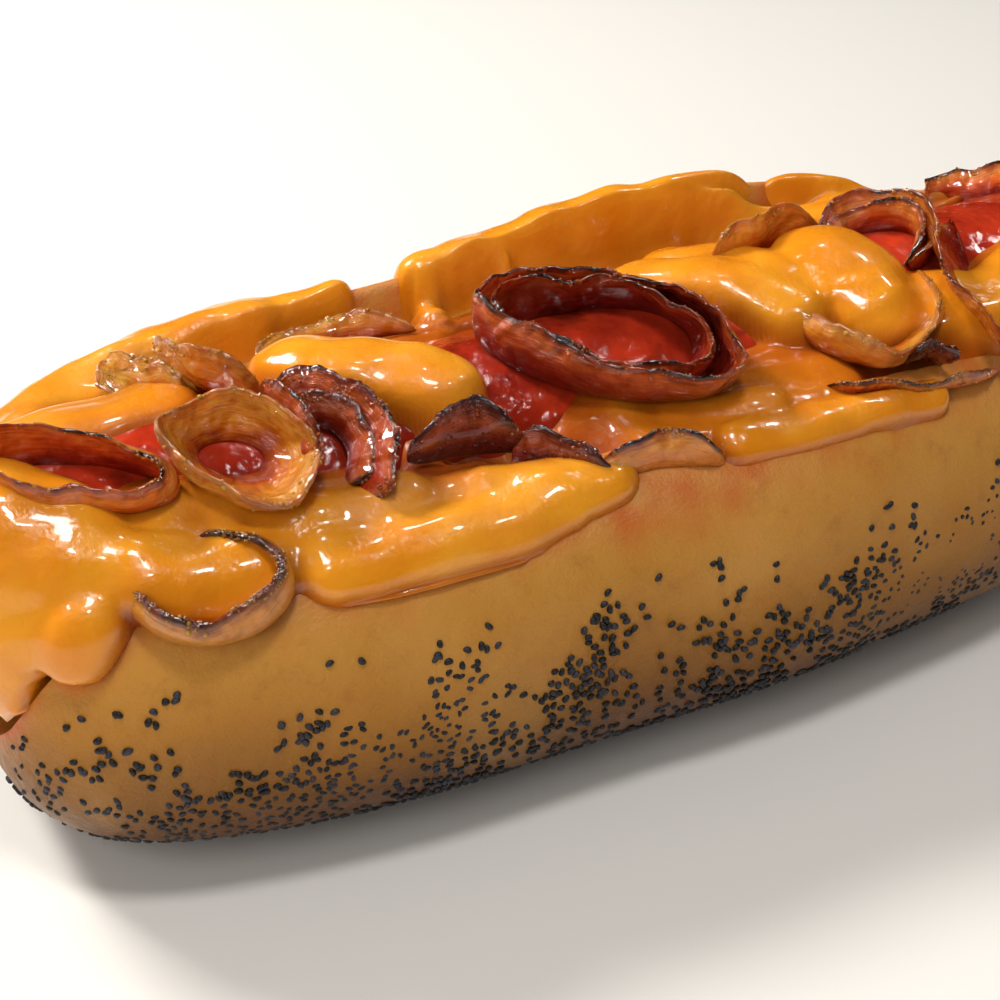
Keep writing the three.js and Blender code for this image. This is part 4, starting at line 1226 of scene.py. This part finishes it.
def sausage_loops(rows, columns):
    """A rounded rod as a surface of revolution round its bent axis, with wrinkles in
    the casing and radial folds that grow towards the tips."""
    s = np.linspace(-1, 1, rows + 2)[1:-1]
    way = s * (SAUSAGE_CORE + np.pi / 2 * SAUSAGE_RADIUS)
    core = np.clip(way, -SAUSAGE_CORE, SAUSAGE_CORE)
    bend = (way - core) / SAUSAGE_RADIUS
    radius = SAUSAGE_RADIUS * np.cos(bend)
    x = core + SAUSAGE_RADIUS * np.sin(bend)
    a = np.linspace(0, 2 * np.pi, columns, endpoint=False)
    gather = eased(np.abs(bend), FOLD_DEPTH, 0.7, 1.4)[:, None]
    fold = gather * np.cos(FOLD_COUNT * a + 0.6 * np.sin(2 * a))[None]
    wide = radius[:, None] - fold * np.cos(bend)[:, None]
    return np.stack([np.broadcast_to(x[:, None], wide.shape), wide * np.sin(a),
                     sausage_axis(core)[:, None] + wide * np.cos(a)], -1)


def sausage_material():
    """Grilled casing: deep red with brown and dark patches, wet."""
    material, tree, shader = new_material("grilled_skin")
    place = object_place(tree)
    patches = remap(tree, noise(tree, place, 70, 4, 0.6), 0.35, 0.7)
    colour = blend(tree, patches, srgb(192, 56, 28), srgb(134, 28, 16))
    brown = remap(tree, noise(tree, place, 180, 4, 0.65), 0.52, 0.75, 0.0, 0.8)
    colour = blend(tree, brown, colour, srgb(92, 30, 16))
    rough, height = wetness(tree, 120, 1100, 0.05, 0.14)
    wrinkles = math(tree, "MULTIPLY", noise(tree, place, 210, 2), 3.0)
    relief = math(tree, "MULTIPLY_ADD", height, 0.3, wrinkles)
    connect(tree, shader, Base_Color=colour, Roughness=rough, Normal=bump(tree, relief, 0.4, 0.0008),
            Subsurface_Weight=0.1, Subsurface_Radius=(1.0, 0.25, 0.15), Subsurface_Scale=0.002,
            Coat_Weight=0.3, Coat_Roughness=0.06)
    return material


sausage_grid = sausage_loops(*SAUSAGE_GRID)
sausage_out = grid_normals(sausage_grid)
sausage_out *= np.sign((sausage_out * (sausage_grid - [0, 0, AXIS_HEIGHT])).sum())
ripple_height, ripple_length = CASING_RIPPLE
swell = ripple_height * ripple(sausage_grid, ripple_length, 51) - ripple_height
sausage_mesh = skin_mesh("sausage_casing", *skin_arrays(sausage_grid + sausage_out * swell[..., None]))
dress(sausage_mesh, sausage_material(), "sausage_skin", "sausage")

# %% [markdown]
# A plain pale floor, soft light and a camera at the photograph's angle. The camera is
# close, as in the photograph, so the near end looks larger than the far end.

# %% Floor
def floor_material():
    """A plain pale matt floor."""
    material, tree, shader = new_material("pale_floor")
    tint = noise(tree, object_place(tree), 3, 2)
    colour = blend(tree, tint, srgb(222, 219, 214), srgb(228, 226, 222))
    connect(tree, shader, Base_Color=colour, Roughness=0.8)
    return material


FLOOR_HALF = 1500.0
corners = np.array([[-1, -1, 0], [1, -1, 0], [1, 1, 0], [-1, 1, 0]], float) * FLOOR_HALF
floor_mesh = fill_mesh("floor", corners, np.array([[0, 1, 2, 3]]), np.zeros((0, 3), int))
floor = in_scene("floor", floor_mesh)
floor_mesh.materials.append(floor_material())

# %% Camera
CAMERA_AZIMUTH, CAMERA_ELEVATION = -28.0, 33.0
CAMERA_DISTANCE = 260.0
CAMERA_TARGET = (-7.3, 5.2, 20.0)
CAMERA_LENS = 73.5


def direction_from(azimuth, elevation):
    """Unit vector towards a viewer. Azimuth 0 is a viewer at -Y, and angles are degrees."""
    a, e = np.radians(azimuth), np.radians(elevation)
    return Vector((np.sin(a) * np.cos(e), -np.cos(a) * np.cos(e), np.sin(e)))


def aim(thing, target, direction, distance):
    """Puts a camera or a light at a distance from a target and turns it to look there.
    Target and distance are millimetres."""
    thing.location = (Vector(target) + direction * distance) * MM
    thing.rotation_mode = "QUATERNION"
    thing.rotation_quaternion = (-direction).to_track_quat("-Z", "Y")


camera = in_scene("camera", bpy.data.cameras.new("camera"))
camera.data.lens = CAMERA_LENS
camera.data.clip_start = 0.01
aim(camera, CAMERA_TARGET, direction_from(CAMERA_AZIMUTH, CAMERA_ELEVATION), CAMERA_DISTANCE)
bpy.context.scene.camera = camera


# %% [markdown]
# The key light comes from behind and to the left, as in the photograph, where the far
# edges of the toppings shine. A soft fill from the near left lights the bun without
# laying a grey veil on the wet skins, because it is hidden from glossy rays. Small glint
# lights do the opposite: they only show as points of light on cheese, onion and sausage.

# %% Light
LIGHT_TARGET = (0, 0, 30)
WARM_WHITE = (1.0, 0.96, 0.9)


def softbox(name, azimuth, elevation, distance, size, power, colour, shows_in="all"):
    """A square area light that looks at the middle of the food, with size in metres and
    power in watts. It may show only in diffuse or only in glossy light."""
    light = bpy.data.lights.new(name, "AREA")
    light.shape = "SQUARE"
    light.size = size
    light.energy = power
    light.color = colour
    lamp = in_scene(name, light)
    aim(lamp, LIGHT_TARGET, direction_from(azimuth, elevation), distance)
    lamp.visible_glossy = shows_in != "diffuse"
    lamp.visible_diffuse = shows_in != "glossy"


softbox("key_light", 215, 44, 650, 0.15, 4.6, WARM_WHITE)
softbox("top_light", -30, 76, 700, 0.12, 1.8, (1.0, 0.98, 0.95))
softbox("fill_light", -62, 34, 800, 0.5, 2.3, (1.0, 0.97, 0.93), "diffuse")
GLINT_PLACES = [(-95, 55), (-20, 60), (35, 62), (100, 50), (150, 70)]
for number, (azimuth, elevation) in enumerate(GLINT_PLACES):
    softbox(f"glint_light_{number}", azimuth, elevation, 600, 0.04, 0.35, WARM_WHITE, "glossy")
world = bpy.data.worlds.new("studio")
world.use_nodes = True
background = world.node_tree.nodes["Background"]
background.inputs["Color"].default_value = (1.0, 0.98, 0.96, 1)
background.inputs["Strength"].default_value = 0.22
world.cycles_visibility.glossy = False
bpy.context.scene.world = world
bpy.context.scene.view_settings.view_transform = "Standard"
